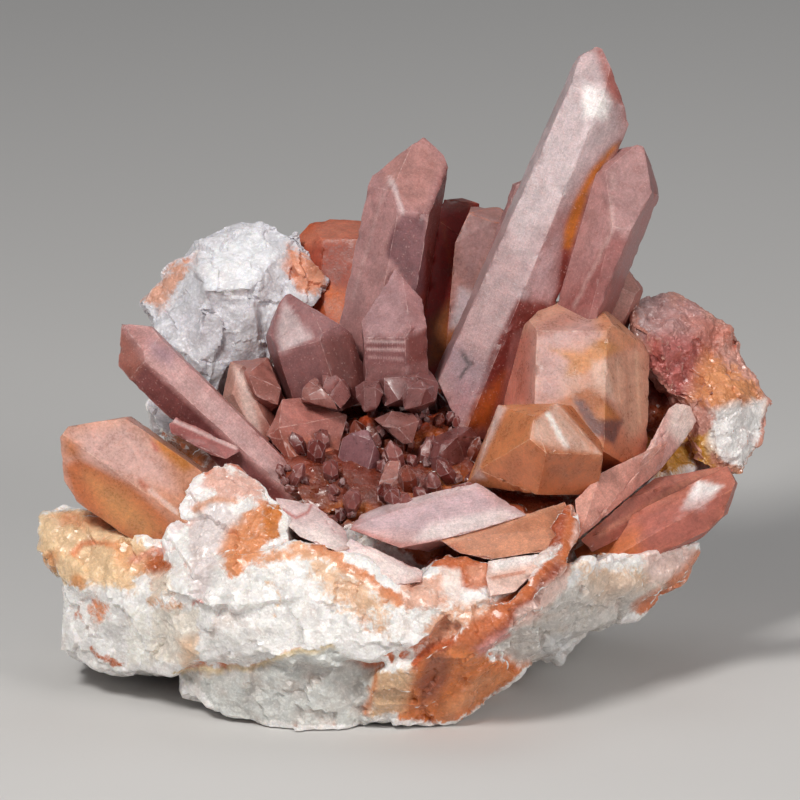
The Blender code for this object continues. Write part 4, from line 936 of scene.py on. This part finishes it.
        ("area", ([(350, 545), (380, 552), (420, 574), (400, 586), (372, 572)], 5), (246, 228, 222), 0.8),
    ],
    ("front_step_slab", 0): [
        ("line", ([(492, 578), (524, 572)], 0.8, 1.6), (196, 120, 90), 0.8),
        ("line", ([(492, 568), (544, 560)], 0.6, 1.6), (190, 110, 90), 0.7),
        ("area", ([(490, 560), (556, 550), (548, 560), (492, 572)], 3), (248, 238, 234), 0.9),
    ],
    "matrix": [
        ("area", ([(180, 672), (252, 668), (300, 653), (332, 646), (376, 670), (368, 724), (220, 722)], 4), (206, 206, 202), 0.9),
        ("line", ([(176, 671), (250, 668), (300, 652), (332, 646)], 1.2, 2.5), (222, 200, 160), 0.8),
        ("area", ([(486, 645), (520, 624), (570, 590), (600, 574), (668, 586), (600, 636), (560, 670), (520, 666)], 6), (206, 200, 194), 0.85),
        ("area", ([(560, 560), (640, 564), (690, 580), (600, 600)], 9), (226, 190, 160), 0.6),
        ("area", ([(640, 548), (698, 544), (694, 576), (650, 584)], 5), (238, 210, 202), 0.85),
        ("line", ([(640, 608), (668, 592), (700, 556)], 3, 7), (204, 112, 62), 0.85),
        ("area", ([(536, 640), (592, 634), (566, 668), (552, 668)], 4), (208, 208, 208), 0.8),
        ("area", ([(225, 345), (480, 345), (510, 395), (496, 474), (476, 484), (404, 503), (362, 515), (345, 532), (316, 506), (292, 500), (262, 470), (236, 430)], 5), (116, 40, 14), 1.0),
        # Painted light: brighter orange in the shaded gap behind the druse crystals, lifting its shade.
        ("area", ([(330, 386), (492, 380), (496, 420), (440, 424), (330, 420)], 6), (196, 74, 28), 0.95),
        ("spot", (440, 490, 46, 24, -20), (186, 92, 24), 0.95),
        ("spot", (430, 442, 34, 20, 0), (168, 78, 18), 0.85),
        ("spot", (350, 512, 34, 14, 0), (190, 100, 30), 0.9),
        ("spot", (296, 474, 24, 18, 0), (150, 56, 20), 0.8),
        ("spot", (462, 408, 30, 30, 0), (160, 66, 16), 0.85),
        # Painted shade: dark red on the rear lump where it shows in the shaded gaps behind the right crystals.
        ("area", ([(634, 366), (690, 390), (690, 420), (650, 440), (634, 430)], 4), (110, 26, 14), 0.98),
        ("area", ([(146, 398), (172, 398), (172, 436), (150, 436)], 4), (196, 190, 194), 0.9),
        ("area", ([(352, 524), (404, 550), (430, 560), (560, 548), (572, 530), (580, 500), (500, 486), (420, 500)], 8), (168, 78, 42), 0.9),
        ("area", ([(570, 500), (579, 502), (577, 545), (562, 575), (544, 604), (500, 636), (470, 656), (440, 662), (466, 628), (500, 600), (530, 580), (560, 548)], 3), (196, 104, 54), 0.97),
        ("area", ([(556, 560), (566, 566), (540, 600), (505, 632), (480, 642), (510, 614), (536, 588)], 3), (126, 50, 36), 0.75),
        ("line", ([(572, 502), (577, 530), (568, 560)], 0.8, 2.0), (232, 196, 186), 0.7),
        ("area", ([(516, 614), (545, 588), (568, 566), (568, 590), (530, 622), (514, 630)], 3), (238, 206, 196), 0.85),
        ("area", ([(474, 650), (505, 630), (508, 636), (480, 656)], 2.5), (202, 130, 122), 0.9),
        ("area", ([(420, 660), (452, 644), (482, 656), (530, 664), (508, 684), (458, 722), (396, 720), (404, 690)], 5), (214, 118, 50), 0.92),
        ("area", ([(424, 664), (444, 648), (452, 664), (438, 700), (420, 706), (416, 684)], 6), (134, 54, 24), 0.8),
        ("area", ([(482, 676), (512, 672), (470, 708), (440, 722), (450, 700)], 6), (206, 140, 96), 0.7),
        ("area", ([(368, 672), (414, 668), (404, 712), (372, 716)], 5), (216, 176, 138), 0.8),
        ("line", ([(376, 672), (372, 690), (366, 712)], 1.5, 3.0), (206, 120, 58), 0.8),
        ("line", ([(316, 544), (346, 566), (372, 584), (396, 602)], 4, 5), (212, 112, 46), 0.9),
        ("area", ([(300, 545), (340, 560), (392, 604), (390, 640), (340, 610), (306, 580)], 14), (236, 194, 160), 0.7),
        ("area", ([(396, 580), (444, 574), (448, 606), (404, 614)], 5), (224, 174, 152), 0.8),
        ("area", ([(408, 548), (442, 544), (492, 552), (492, 600), (466, 590), (444, 570), (416, 562)], 4), (196, 98, 46), 0.92),
        ("area", ([(436, 570), (462, 568), (464, 604), (448, 602)], 2.5), (246, 228, 220), 0.9),
        ("area", ([(464, 590), (488, 588), (488, 602), (466, 604)], 2), (252, 248, 246), 0.97),
        ("area", ([(470, 566), (486, 562), (488, 584), (472, 588)], 2.5), (222, 152, 122), 0.85),
        ("area", ([(490, 556), (552, 550), (530, 578), (490, 600)], 3), (244, 226, 220), 0.85),
        ("line", ([(490, 574), (530, 566)], 0.8, 1.6), (196, 110, 70), 0.8),
        ("area", ([(446, 606), (500, 600), (470, 626), (430, 644), (420, 630)], 6), (224, 170, 140), 0.7),
        ("line", ([(416, 664), (432, 648), (452, 642)], 2.5, 3), (190, 84, 34), 0.9),
        ("area", ([(34, 510), (112, 506), (150, 548), (132, 590), (60, 584), (36, 552)], 9), (238, 202, 160), 0.9),
        ("area", ([(58, 512), (112, 516), (110, 530), (62, 524)], 4), (218, 140, 92), 0.7),
        ("line", ([(74, 552), (84, 542), (102, 540), (112, 546)], 2.0, 3.0), (220, 118, 60), 0.75),
        ("spot", (52, 560, 12, 14, 0), (222, 146, 84), 0.7),
        ("spot", (78, 582, 10, 12, 0), (214, 136, 70), 0.7),
        ("area", ([(84, 606), (96, 596), (112, 606), (110, 622), (92, 626)], 5), (230, 140, 88), 0.55),
        ("area", ([(106, 540), (148, 556), (146, 574), (118, 566)], 6), (232, 168, 116), 0.7),
        ("spot", (157, 566, 20, 12, 0), (184, 92, 34), 0.9),
        ("line", ([(136, 560), (150, 552), (162, 548)], 2.0, 4.0), (232, 150, 124), 0.7),
        ("line", ([(150, 598), (166, 606), (182, 604)], 2.5, 4.0), (222, 160, 110), 0.55),
        ("area", ([(148, 574), (170, 572), (172, 592), (152, 598)], 4), (236, 222, 206), 0.8),
        ("area", ([(184, 604), (196, 600), (206, 606)], 1.5), (196, 84, 64), 0.9),
        ("area", ([(150, 608), (200, 610), (196, 664), (150, 664)], 4), (236, 226, 214), 0.8),
        ("area", ([(124, 608), (146, 600), (150, 664), (128, 668)], 5), (248, 244, 236), 0.8),
        ("area", ([(176, 640), (196, 638), (198, 656), (184, 666)], 5), (226, 176, 130), 0.6),
        ("line", ([(92, 648), (102, 656), (122, 664)], 1.5, 3.5), (196, 100, 44), 0.7),
        ("area", ([(166, 500), (190, 478), (206, 482), (190, 506), (176, 546), (164, 550)], 6), (238, 226, 226), 0.7),
        ("area", ([(196, 500), (232, 500), (240, 520), (220, 560), (206, 600), (190, 600), (188, 540)], 8), (226, 214, 212), 0.85),
        ("area", ([(222, 540), (240, 516), (262, 500), (268, 540), (256, 560), (236, 580), (224, 570)], 5), (220, 140, 88), 0.85),
        ("line", ([(196, 508), (206, 500), (236, 500)], 1.6, 4.0), (214, 146, 106), 0.7),
        ("area", ([(262, 500), (282, 506), (278, 540), (266, 538)], 3), (196, 110, 22), 0.9),
        ("area", ([(208, 462), (262, 478), (266, 500), (226, 498), (200, 486)], 5), (226, 176, 160), 0.8),
        ("line", ([(206, 470), (216, 458), (232, 462), (266, 476)], 2.0, 4.0), (206, 112, 82), 0.8),
        ("area", ([(252, 556), (300, 540), (316, 556), (260, 566)], 5), (230, 166, 126), 0.7),
        ("line", ([(264, 582), (276, 588), (282, 600), (274, 612)], 1.5, 4.0), (234, 190, 150), 0.45),
        ("spot", (186, 452, 30, 24, 30), (170, 88, 20), 1.0),
        ("spot", (660, 456, 60, 30, 0), (196, 140, 48), 0.9),
        ("spot", (660, 420, 24, 26, 0), (150, 66, 24), 0.9),
        ("spot", (598, 545, 26, 16, 0), (206, 132, 76), 0.8),
    ],
}

# ---------------------------------------------------------------- materials


class Nodes:
    """A short way to write a shader."""

    def __init__(self, name):
        self.material = bpy.data.materials.new(name)
        self.material.use_nodes = True
        self.tree = self.material.node_tree
        self.shader = self.tree.nodes["Principled BSDF"]

    def put(self, socket, value):
        if isinstance(value, bpy.types.NodeSocket):
            self.tree.links.new(value, socket)
        else:
            socket.default_value = value

    def node(self, kind, settings=None, **inputs):
        node = self.tree.nodes.new(kind)
        for key, value in (settings or {}).items():
            setattr(node, key, value)
        for key, value in inputs.items():
            self.put(node.inputs[key.replace("_", " ")], value)
        return node

    def attribute(self, name, output="Color"):
        return self.node("ShaderNodeAttribute", {"attribute_name": name}).outputs[output]

    def stretched(self, vector, scale):
        node = self.node("ShaderNodeMapping")
        self.put(node.inputs["Vector"], vector)
        node.inputs["Scale"].default_value = scale
        return node.outputs["Vector"]

    def noise(self, vector, scale, detail=3.0, rough=0.55, twist=0.0):
        node = self.node("ShaderNodeTexNoise", Scale=scale, Detail=detail, Roughness=rough, Distortion=twist)
        self.put(node.inputs["Vector"], vector)
        return node.outputs["Fac"]

    def cells(self, vector, scale, feature="F1", output="Distance"):
        node = self.node("ShaderNodeTexVoronoi", {"feature": feature}, Scale=scale)
        self.put(node.inputs["Vector"], vector)
        return node.outputs[output]

    def curve(self, value, low, high, to_low=0.0, to_high=1.0):
        node = self.node("ShaderNodeMapRange", {"interpolation_type": "SMOOTHSTEP"})
        self.put(node.inputs[0], value)
        for index, number in zip((1, 2, 3, 4), (low, high, to_low, to_high)):
            node.inputs[index].default_value = number
        return node.outputs[0]

    def math(self, op, a, b=0.0):
        node = self.node("ShaderNodeMath", {"operation": op})
        self.put(node.inputs[0], a)
        self.put(node.inputs[1], b)
        return node.outputs[0]

    def mix(self, fac, a, b, blend="MIX"):
        node = self.node("ShaderNodeMix", {"data_type": "RGBA", "blend_type": blend, "clamp_result": False})
        self.put(node.inputs[0], fac)
        self.put(node.inputs[6], a if isinstance(a, bpy.types.NodeSocket) else (*a, 1))
        self.put(node.inputs[7], b if isinstance(b, bpy.types.NodeSocket) else (*b, 1))
        return node.outputs[2]

    def scaled(self, colour, value):
        """The colour with its brightness multiplied by value."""
        node = self.node("ShaderNodeVectorMath", {"operation": "SCALE"})
        self.put(node.inputs[0], colour)
        self.put(node.inputs["Scale"], value)
        return node.outputs[0]

    def bump(self, height, strength, distance, normal=None):
        node = self.node("ShaderNodeBump", Strength=strength, Distance=distance, Height=height)
        if normal is not None:
            self.put(node.inputs["Normal"], normal)
        return node.outputs["Normal"]


def crystal_material(name, rough=0.36, coat=0.12, dust=0.5, streaks=1.0, pale=(226, 192, 186), edge=0.55, glow=0.15, red=(150, 60, 44), blotch=0.35):
    """A crystal face: dusty satin quartz with fine growth lines, iron-red clouds below the surface and pale worn edges,
    their paleness partly wear and partly a painted edge highlight.
    """
    n = Nodes(name)
    stone, grain = n.attribute("stone"), n.attribute("grain", "Vector")
    rim, prism = n.attribute("edge", "Fac"), n.attribute("prism", "Fac")
    mottle = n.noise(grain, 0.42, 5, 0.6, 0.6)
    blots = n.noise(grain, 0.8, 5, 0.66, 1.4)
    dusty = n.noise(grain, 3.2, 4, 0.7)
    lengthwise = n.noise(n.stretched(grain, (5.0, 5.0, 0.14)), 1.0, 4, 0.62, 0.15)
    across = n.noise(n.stretched(grain, (0.22, 0.22, 6.0)), 1.0, 3, 0.7)
    fine = n.noise(grain, 11.0, 2, 0.7)
    cloud = n.mix(0.5, stone, srgb(red))
    colour = n.mix(n.math("MULTIPLY", n.curve(blots, 0.48, 0.70), blotch), stone, cloud)
    tone = n.curve(mottle, 0.32, 0.68, 0.82, 1.12)
    tone = n.math("MULTIPLY", tone, n.curve(dusty, 0.32, 0.68, 0.88, 1.10))
    tone = n.math("MULTIPLY", tone, n.curve(lengthwise, 0.34, 0.66, 1 - 0.05 * streaks, 1 + 0.05 * streaks))
    lines = n.math("MULTIPLY", n.curve(blots, 0.42, 0.60), prism)
    bands = n.math("MULTIPLY", n.curve(across, 0.42, 0.62, -0.05, 0.05), lines)
    tone = n.math("MULTIPLY", tone, n.math("ADD", n.math("MULTIPLY", bands, streaks), 1.0))
    colour = n.scaled(colour, tone)
    grit = n.node("ShaderNodeSeparateColor")
    n.put(grit.inputs[0], n.cells(grain, 6.5, "F1", "Color"))
    colour = n.scaled(colour, n.curve(grit.outputs[1], 0.0, 1.0, 1 - 0.14 * dust, 1 + 0.10 * dust))
    specks = n.math("MULTIPLY", n.curve(grit.outputs[0], 0.94, 0.97), n.curve(blots, 0.40, 0.62, 0.2, 1.0))
    colour = n.mix(n.math("MULTIPLY", specks, 0.45 * dust), colour, srgb(pale))
    # Pale along the edges: partly wear, partly a painted edge highlight.
    worn_edge_highlight = n.math("MULTIPLY", n.curve(rim, 0.60, 0.95), n.curve(n.noise(grain, 1.6, 3, 0.6), 0.40, 0.62, 0.1, 1.0))
    colour = n.mix(n.math("MULTIPLY", worn_edge_highlight, edge), colour, srgb(pale))
    n.put(n.shader.inputs["Base Color"], colour)
    n.put(n.shader.inputs["Roughness"], n.curve(n.math("MULTIPLY", mottle, dusty), 0.12, 0.38, rough - 0.08, rough + 0.16))
    height = n.math("ADD", n.math("MULTIPLY", n.math("MULTIPLY", across, lines), 0.35 * streaks), n.math("MULTIPLY", lengthwise, 0.15 * streaks))
    height = n.math("ADD", height, n.math("ADD", n.math("MULTIPLY", fine, 0.16), n.math("MULTIPLY", dusty, 0.35)))
    n.put(n.shader.inputs["Normal"], n.bump(height, 0.5, 0.00010))
    n.shader.inputs["IOR"].default_value = 1.544
    n.shader.inputs["Coat Weight"].default_value = coat
    n.shader.inputs["Coat Roughness"].default_value = 0.22
    n.shader.inputs["Subsurface Weight"].default_value = glow
    n.shader.inputs["Subsurface Radius"].default_value = (1.0, 0.35, 0.2)
    n.shader.inputs["Subsurface Scale"].default_value = 0.0008
    return n.material


def rock_material(name, rough=0.5, sugar=1.0, tint=(214, 150, 110), stain=0.35, lift=1.3, coat=0.45, glow=0.25):
    """Broken quartz: sugary grains, glinting facets with painted glints whitened into the colour, iron stains and worn
    pale ridges.
    """
    n = Nodes(name)
    stone, grain = n.attribute("stone"), n.attribute("grain", "Vector")
    ridge = n.attribute("edge", "Fac")
    # The stain attribute holds the rock's marks: iron stains, and painted shade and painted light in the gaps between
    # the crystals.
    ragged = n.noise(grain, 0.85, 6, 0.72, 1.0)
    reach = n.math("ADD", n.attribute("cover", "Fac"), n.math("MULTIPLY", n.math("SUBTRACT", ragged, 0.5), 1.5))
    stone = n.mix(n.curve(reach, 0.28, 0.78), stone, n.attribute("stain"))
    broad = n.noise(grain, 0.22, 5, 0.6, 0.8)
    mid = n.noise(grain, 0.8, 5, 0.62, 0.6)
    cloudy = n.noise(grain, 1.7, 4, 0.6, 1.0)
    fine = n.noise(grain, 4.5, 4, 0.65)
    crumbs = n.cells(grain, 2.6)
    glints = n.cells(grain, 3.4, "F1", "Color")
    glint = n.node("ShaderNodeSeparateColor")
    n.put(glint.inputs[0], glints)
    colour = n.mix(n.math("MULTIPLY", n.curve(broad, 0.50, 0.66), stain), stone, n.mix(0.5, stone, srgb(tint)))
    colour = n.scaled(colour, n.math("MULTIPLY", n.curve(mid, 0.30, 0.70, 0.86, 1.08), n.curve(cloudy, 0.3, 0.7, 0.95, 1.05)))
    lighter = n.mix(0.015, n.scaled(stone, lift), (1.0, 1.0, 1.0))
    colour = n.mix(n.math("MULTIPLY", n.curve(n.math("MULTIPLY", mid, fine), 0.24, 0.36), 0.6), colour, lighter)
    colour = n.mix(n.math("MULTIPLY", ridge, 0.22), colour, lighter)
    # Painted glints: sparse grain cells whitened in the colour, as sparkle.
    colour = n.mix(n.math("MULTIPLY", n.curve(glint.outputs[0], 0.84, 0.90), 0.55 * sugar), colour, n.mix(0.10, n.scaled(stone, 1.4), (1.0, 1.0, 1.0)))
    colour = n.mix(n.math("MULTIPLY", n.curve(crumbs, 0.30, 0.52), 0.13 * sugar), colour, n.scaled(colour, 0.78))
    n.put(n.shader.inputs["Base Color"], colour)
    n.put(n.shader.inputs["Roughness"], n.curve(glint.outputs[0], 0.35, 1.0, rough + 0.04, rough - 0.30))
    tilt = n.math("ADD", n.math("MULTIPLY", crumbs, 0.9 * sugar), n.math("MULTIPLY", fine, 0.7))
    tilt = n.math("ADD", tilt, n.math("MULTIPLY", glint.outputs[1], 0.45 * sugar))
    n.put(n.shader.inputs["Normal"], n.bump(tilt, 0.6, 0.00014))
    n.shader.inputs["IOR"].default_value = 1.544
    n.shader.inputs["Coat Weight"].default_value = coat
    n.shader.inputs["Coat Roughness"].default_value = 0.2
    n.shader.inputs["Subsurface Weight"].default_value = glow
    n.shader.inputs["Subsurface Radius"].default_value = (1.0, 0.75, 0.55)
    n.shader.inputs["Subsurface Scale"].default_value = 0.0008
    return n.material


def floor_material():
    n = Nodes("floor_paper")
    place_ = n.node("ShaderNodeTexCoord").outputs["Object"]
    tone = n.curve(n.noise(place_, 9.0, 2, 0.5), 0.3, 0.7, 0.985, 1.015)
    n.put(n.shader.inputs["Base Color"], n.scaled(n.mix(0.0, (0.62, 0.61, 0.60), (0.62, 0.61, 0.60)), tone))
    n.shader.inputs["Roughness"].default_value = 0.9
    return n.material

# ---------------------------------------------------------------- the cluster

SHARP = {"matrix": 20, "white_block": 20, "red_crusted_block": 26}
SLOTS = {
    "pale_pink_crystal": ("tall_crystal", "long_blade_crystal", "curved_blade_crystal", "front_slab", "front_left_slab", "front_step_slab"),
    "mauve_crystal": ("right_tall_crystal", "centre_crystals", "left_centre_crystal", "left_small_crystals", "pink_stubby_crystal", "left_plate_crystal", "right_back_crystal"),
    "orange_crystal": ("left_orange_crystal", "right_stubby_pair"),
    "red_orange_crystal": ("back_left_crystal", "back_crystals", "right_rear_prism", "right_front_prism"),
    "druse_crystal": tuple(name for name in GROUPS if name.startswith("druse_")),
    "white_quartz": ("white_block",),
    "crusted_quartz": ("red_crusted_block",),
    "milky_quartz": ("matrix",),
}
SLOT_OF = {name: slot for slot, names in SLOTS.items() for name in names}

MATERIALS = {
    "pale_pink_crystal": crystal_material("satin_pale_pink", rough=0.40, dust=0.7, blotch=0.35, red=(170, 84, 72)),
    "mauve_crystal": crystal_material("satin_mauve", rough=0.38, dust=0.55, streaks=0.8, blotch=0.4, red=(150, 66, 56)),
    "orange_crystal": crystal_material("clear_orange", rough=0.32, coat=0.25, dust=0.3, streaks=0.5, pale=(242, 210, 186), red=(186, 84, 44), blotch=0.45, glow=0.25),
    "red_orange_crystal": crystal_material("deep_red_orange", rough=0.42, coat=0.04, dust=0.3, streaks=0.8, pale=(220, 140, 112), red=(120, 34, 18), blotch=0.5, glow=0.2),
    "druse_crystal": crystal_material("druse_mauve", rough=0.32, coat=0.3, dust=0.4, streaks=0.4, pale=(206, 184, 184), edge=0.6, blotch=0.4, red=(110, 36, 26)),
    "white_quartz": rock_material("broken_white", rough=0.6, sugar=0.8, tint=(222, 180, 160), stain=0.2, coat=0.15),
    "crusted_quartz": rock_material("granular_crust", rough=0.55, sugar=1.3, tint=(176, 84, 60), stain=0.5, glow=0.1),
    "milky_quartz": rock_material("sugary_milky", rough=0.5, sugar=1.0),
}


def show(name, parts, replaced=()):
    for index, part in enumerate(parts):
        part["colour"] = paint(part, name, part.get("index", index), part.get("wander", 0))
    obj = object_of("look_" + name, parts)
    slot = SLOT_OF.get(name, "druse_crystal")
    obj.data.materials.append(MATERIALS[slot])
    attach(obj, "root")
    if replaced:
        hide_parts(*replaced)
    return obj


def size_of(planes):
    points, _ = corners(planes)
    return float(np.ptp(points, axis=0).max())


for name, members in GROUPS.items():
    if name in ROUGH:
        voxel, out, fullness = ROUGH[name]
        tilt, jump, scale = (1.3, 0.1, 0.25) if name == "white_block" else (0.8, 0.2, 0.5)
        part = rough_mesh([grown(planes, fullness) for planes in members], voxel * (1), out, True, tilt, jump, scale, 2)
        part["wander"] = 4
        show(name, [part], (name,))
        continue
    parts = []
    for planes in members:
        size = size_of(planes)
        bevel = 0.12 if size > 15 else 0.08
        parts.append(crystal_mesh(planes, 0.85 if size > 15 else 0.5, bevel))
    show(name, parts, (name,))

# A small lump closes the pit where the vein, the low block and the right-hand rock meet.
PIT = [(478, 628, -22), (516, 628, -20), (518, 662, -15), (486, 668, -19), (476, 650, -22), (498, 646, -21.5), (478, 628, -8), (516, 628, -8), (518, 662, -8), (486, 668, -8)]
rock = rough_mesh([hull(points) for points in (*LUMPS.values(), PIT)], 0.47, 0.62, False, 1.5, 0.15, 0.25, 3)
rock["wander"] = 5
show("matrix", [rock], ("matrix",))


def little_crystal(at, axis, wide, tall, spin):
    """A six-sided point standing on the rock."""
    a = unit(axis)
    r = unit(np.cross(a, TOWARD))
    f = np.cross(r, a)
    planes = Planes()
    planes.axes = (r, f, a, at)
    for j in range(6):
        angle = spin + j * math.pi / 3
        out = math.sin(angle) * r + math.cos(angle) * f
        planes.append((out, float(out @ at) + wide * (0.84 + 0.16 * math.cos(j * 2.1 + spin))))
        slope = unit(math.sin(math.radians(56)) * out + math.cos(math.radians(56)) * a)
        planes.append((slope, float(slope @ (at + a * tall * (1 - 0.05 * (j % 2))))))
    planes.append((-a, float(-a @ at) + 0.4))
    return planes


# Small crystals that line the hollow between the large ones.
tree = BVHTree.FromPolygons(rock["verts"].tolist(), rock["tris"].tolist())
rng = random.Random(11)
taken = []
for name in SLOTS["druse_crystal"]:
    for planes in GROUPS[name]:
        px, py, _ = sheet(corners(planes)[0])
        taken.append((px.mean(), py.mean(), 0.62 * np.ptp(px) / 2, 0.62 * np.ptp(py) / 2))
points = []
for _ in range(1600):
    if len(points) >= (95):
        break
    x, y = rng.uniform(262, 492), rng.uniform(378, 520)
    if ((x - 378) / 112) ** 2 + ((y - 452) / 70) ** 2 > 1:
        continue
    if any(((x - cx) / rx) ** 2 + ((y - 6 - cy) / ry) ** 2 < 1 for cx, cy, rx, ry in taken):
        continue
    start = place(x, y, -60)
    eye_ = MIDDLE + EYE * TOWARD
    way = unit(start - eye_)
    hit, normal, _, _ = tree.ray_cast(Vector(start), Vector(way))
    if hit is None or sheet(np.array([hit]))[2][0] < -27:
        continue
    at = np.array(hit)
    if any(np.linalg.norm(at - other) < 0.9 for other in (p[0] for p in points)):
        continue
    axis = unit(np.array(normal) * 0.8 + np.array([rng.uniform(-0.5, 0.5), -0.35 + rng.uniform(-0.4, 0.4), 0.7]))
    wide = rng.uniform(0.45, 1.35)
    points.append((at, little_crystal(at, axis, wide, wide * rng.uniform(1.6, 2.9), rng.uniform(0, 1))))
little = [crystal_mesh(planes, 0.8, 0.05) for _, planes in points]
for index, part in enumerate(little):
    part["index"] = index % len(SHADES["grown_points"])
show("grown_points", little)

# ---------------------------------------------------------------- studio

bpy.ops.mesh.primitive_plane_add(size=1, location=(0, 0, 0))
floor = bpy.context.object
floor.name = "floor"
floor.scale = (3.0, 3.0, 1.0)
floor.location = (0, 0.6, -0.0002)
floor.data.materials.append(floor_material())


def lamp(name, azimuth, height, distance, size, power, colour=(1, 1, 1)):
    """A soft square lamp aimed at the cluster. azimuth 0 is the viewer's side, positive to the right."""
    a, h = math.radians(azimuth), math.radians(height)
    target = Vector((0, 0, 0.035))
    spot_ = target + distance * Vector((math.sin(a) * math.cos(h), -math.cos(a) * math.cos(h), math.sin(h)))
    data = bpy.data.lights.new(name, "AREA")
    data.shape = "SQUARE"
    data.size = size
    data.energy = power
    data.color = colour
    obj = bpy.data.objects.new(name, data)
    obj.location = spot_
    obj.rotation_euler = (target - spot_).to_track_quat("-Z", "Y").to_euler()
    bpy.context.scene.collection.objects.link(obj)


lamp("key", -30, 46, 0.55, 0.12, 2.1, (1.0, 0.98, 0.95))
lamp("fill", 46, 24, 0.6, 0.22, 1.25, (1.0, 0.97, 0.94))
lamp("back", 165, 62, 0.6, 0.35, 0.5)

world = bpy.data.worlds.new("studio")
world.use_nodes = True
world.node_tree.nodes["Background"].inputs["Color"].default_value = (0.75, 0.77, 0.80, 1)
world.node_tree.nodes["Background"].inputs["Strength"].default_value = 0.17
bpy.context.scene.world = world
bpy.context.scene.view_settings.view_transform = "Standard"

eye = (SHIFT + MIDDLE + EYE * TOWARD) / 1000
camera = bpy.data.objects.new("camera", bpy.data.cameras.new("camera"))
camera.data.sensor_width = 36
camera.data.lens = 36 * EYE / (800 * STEP)
camera.data.clip_start = 0.05
camera.location = eye
camera.rotation_euler = (math.radians(90 - ELEVATION), 0, 0)
bpy.context.scene.collection.objects.link(camera)
bpy.context.scene.camera = camera
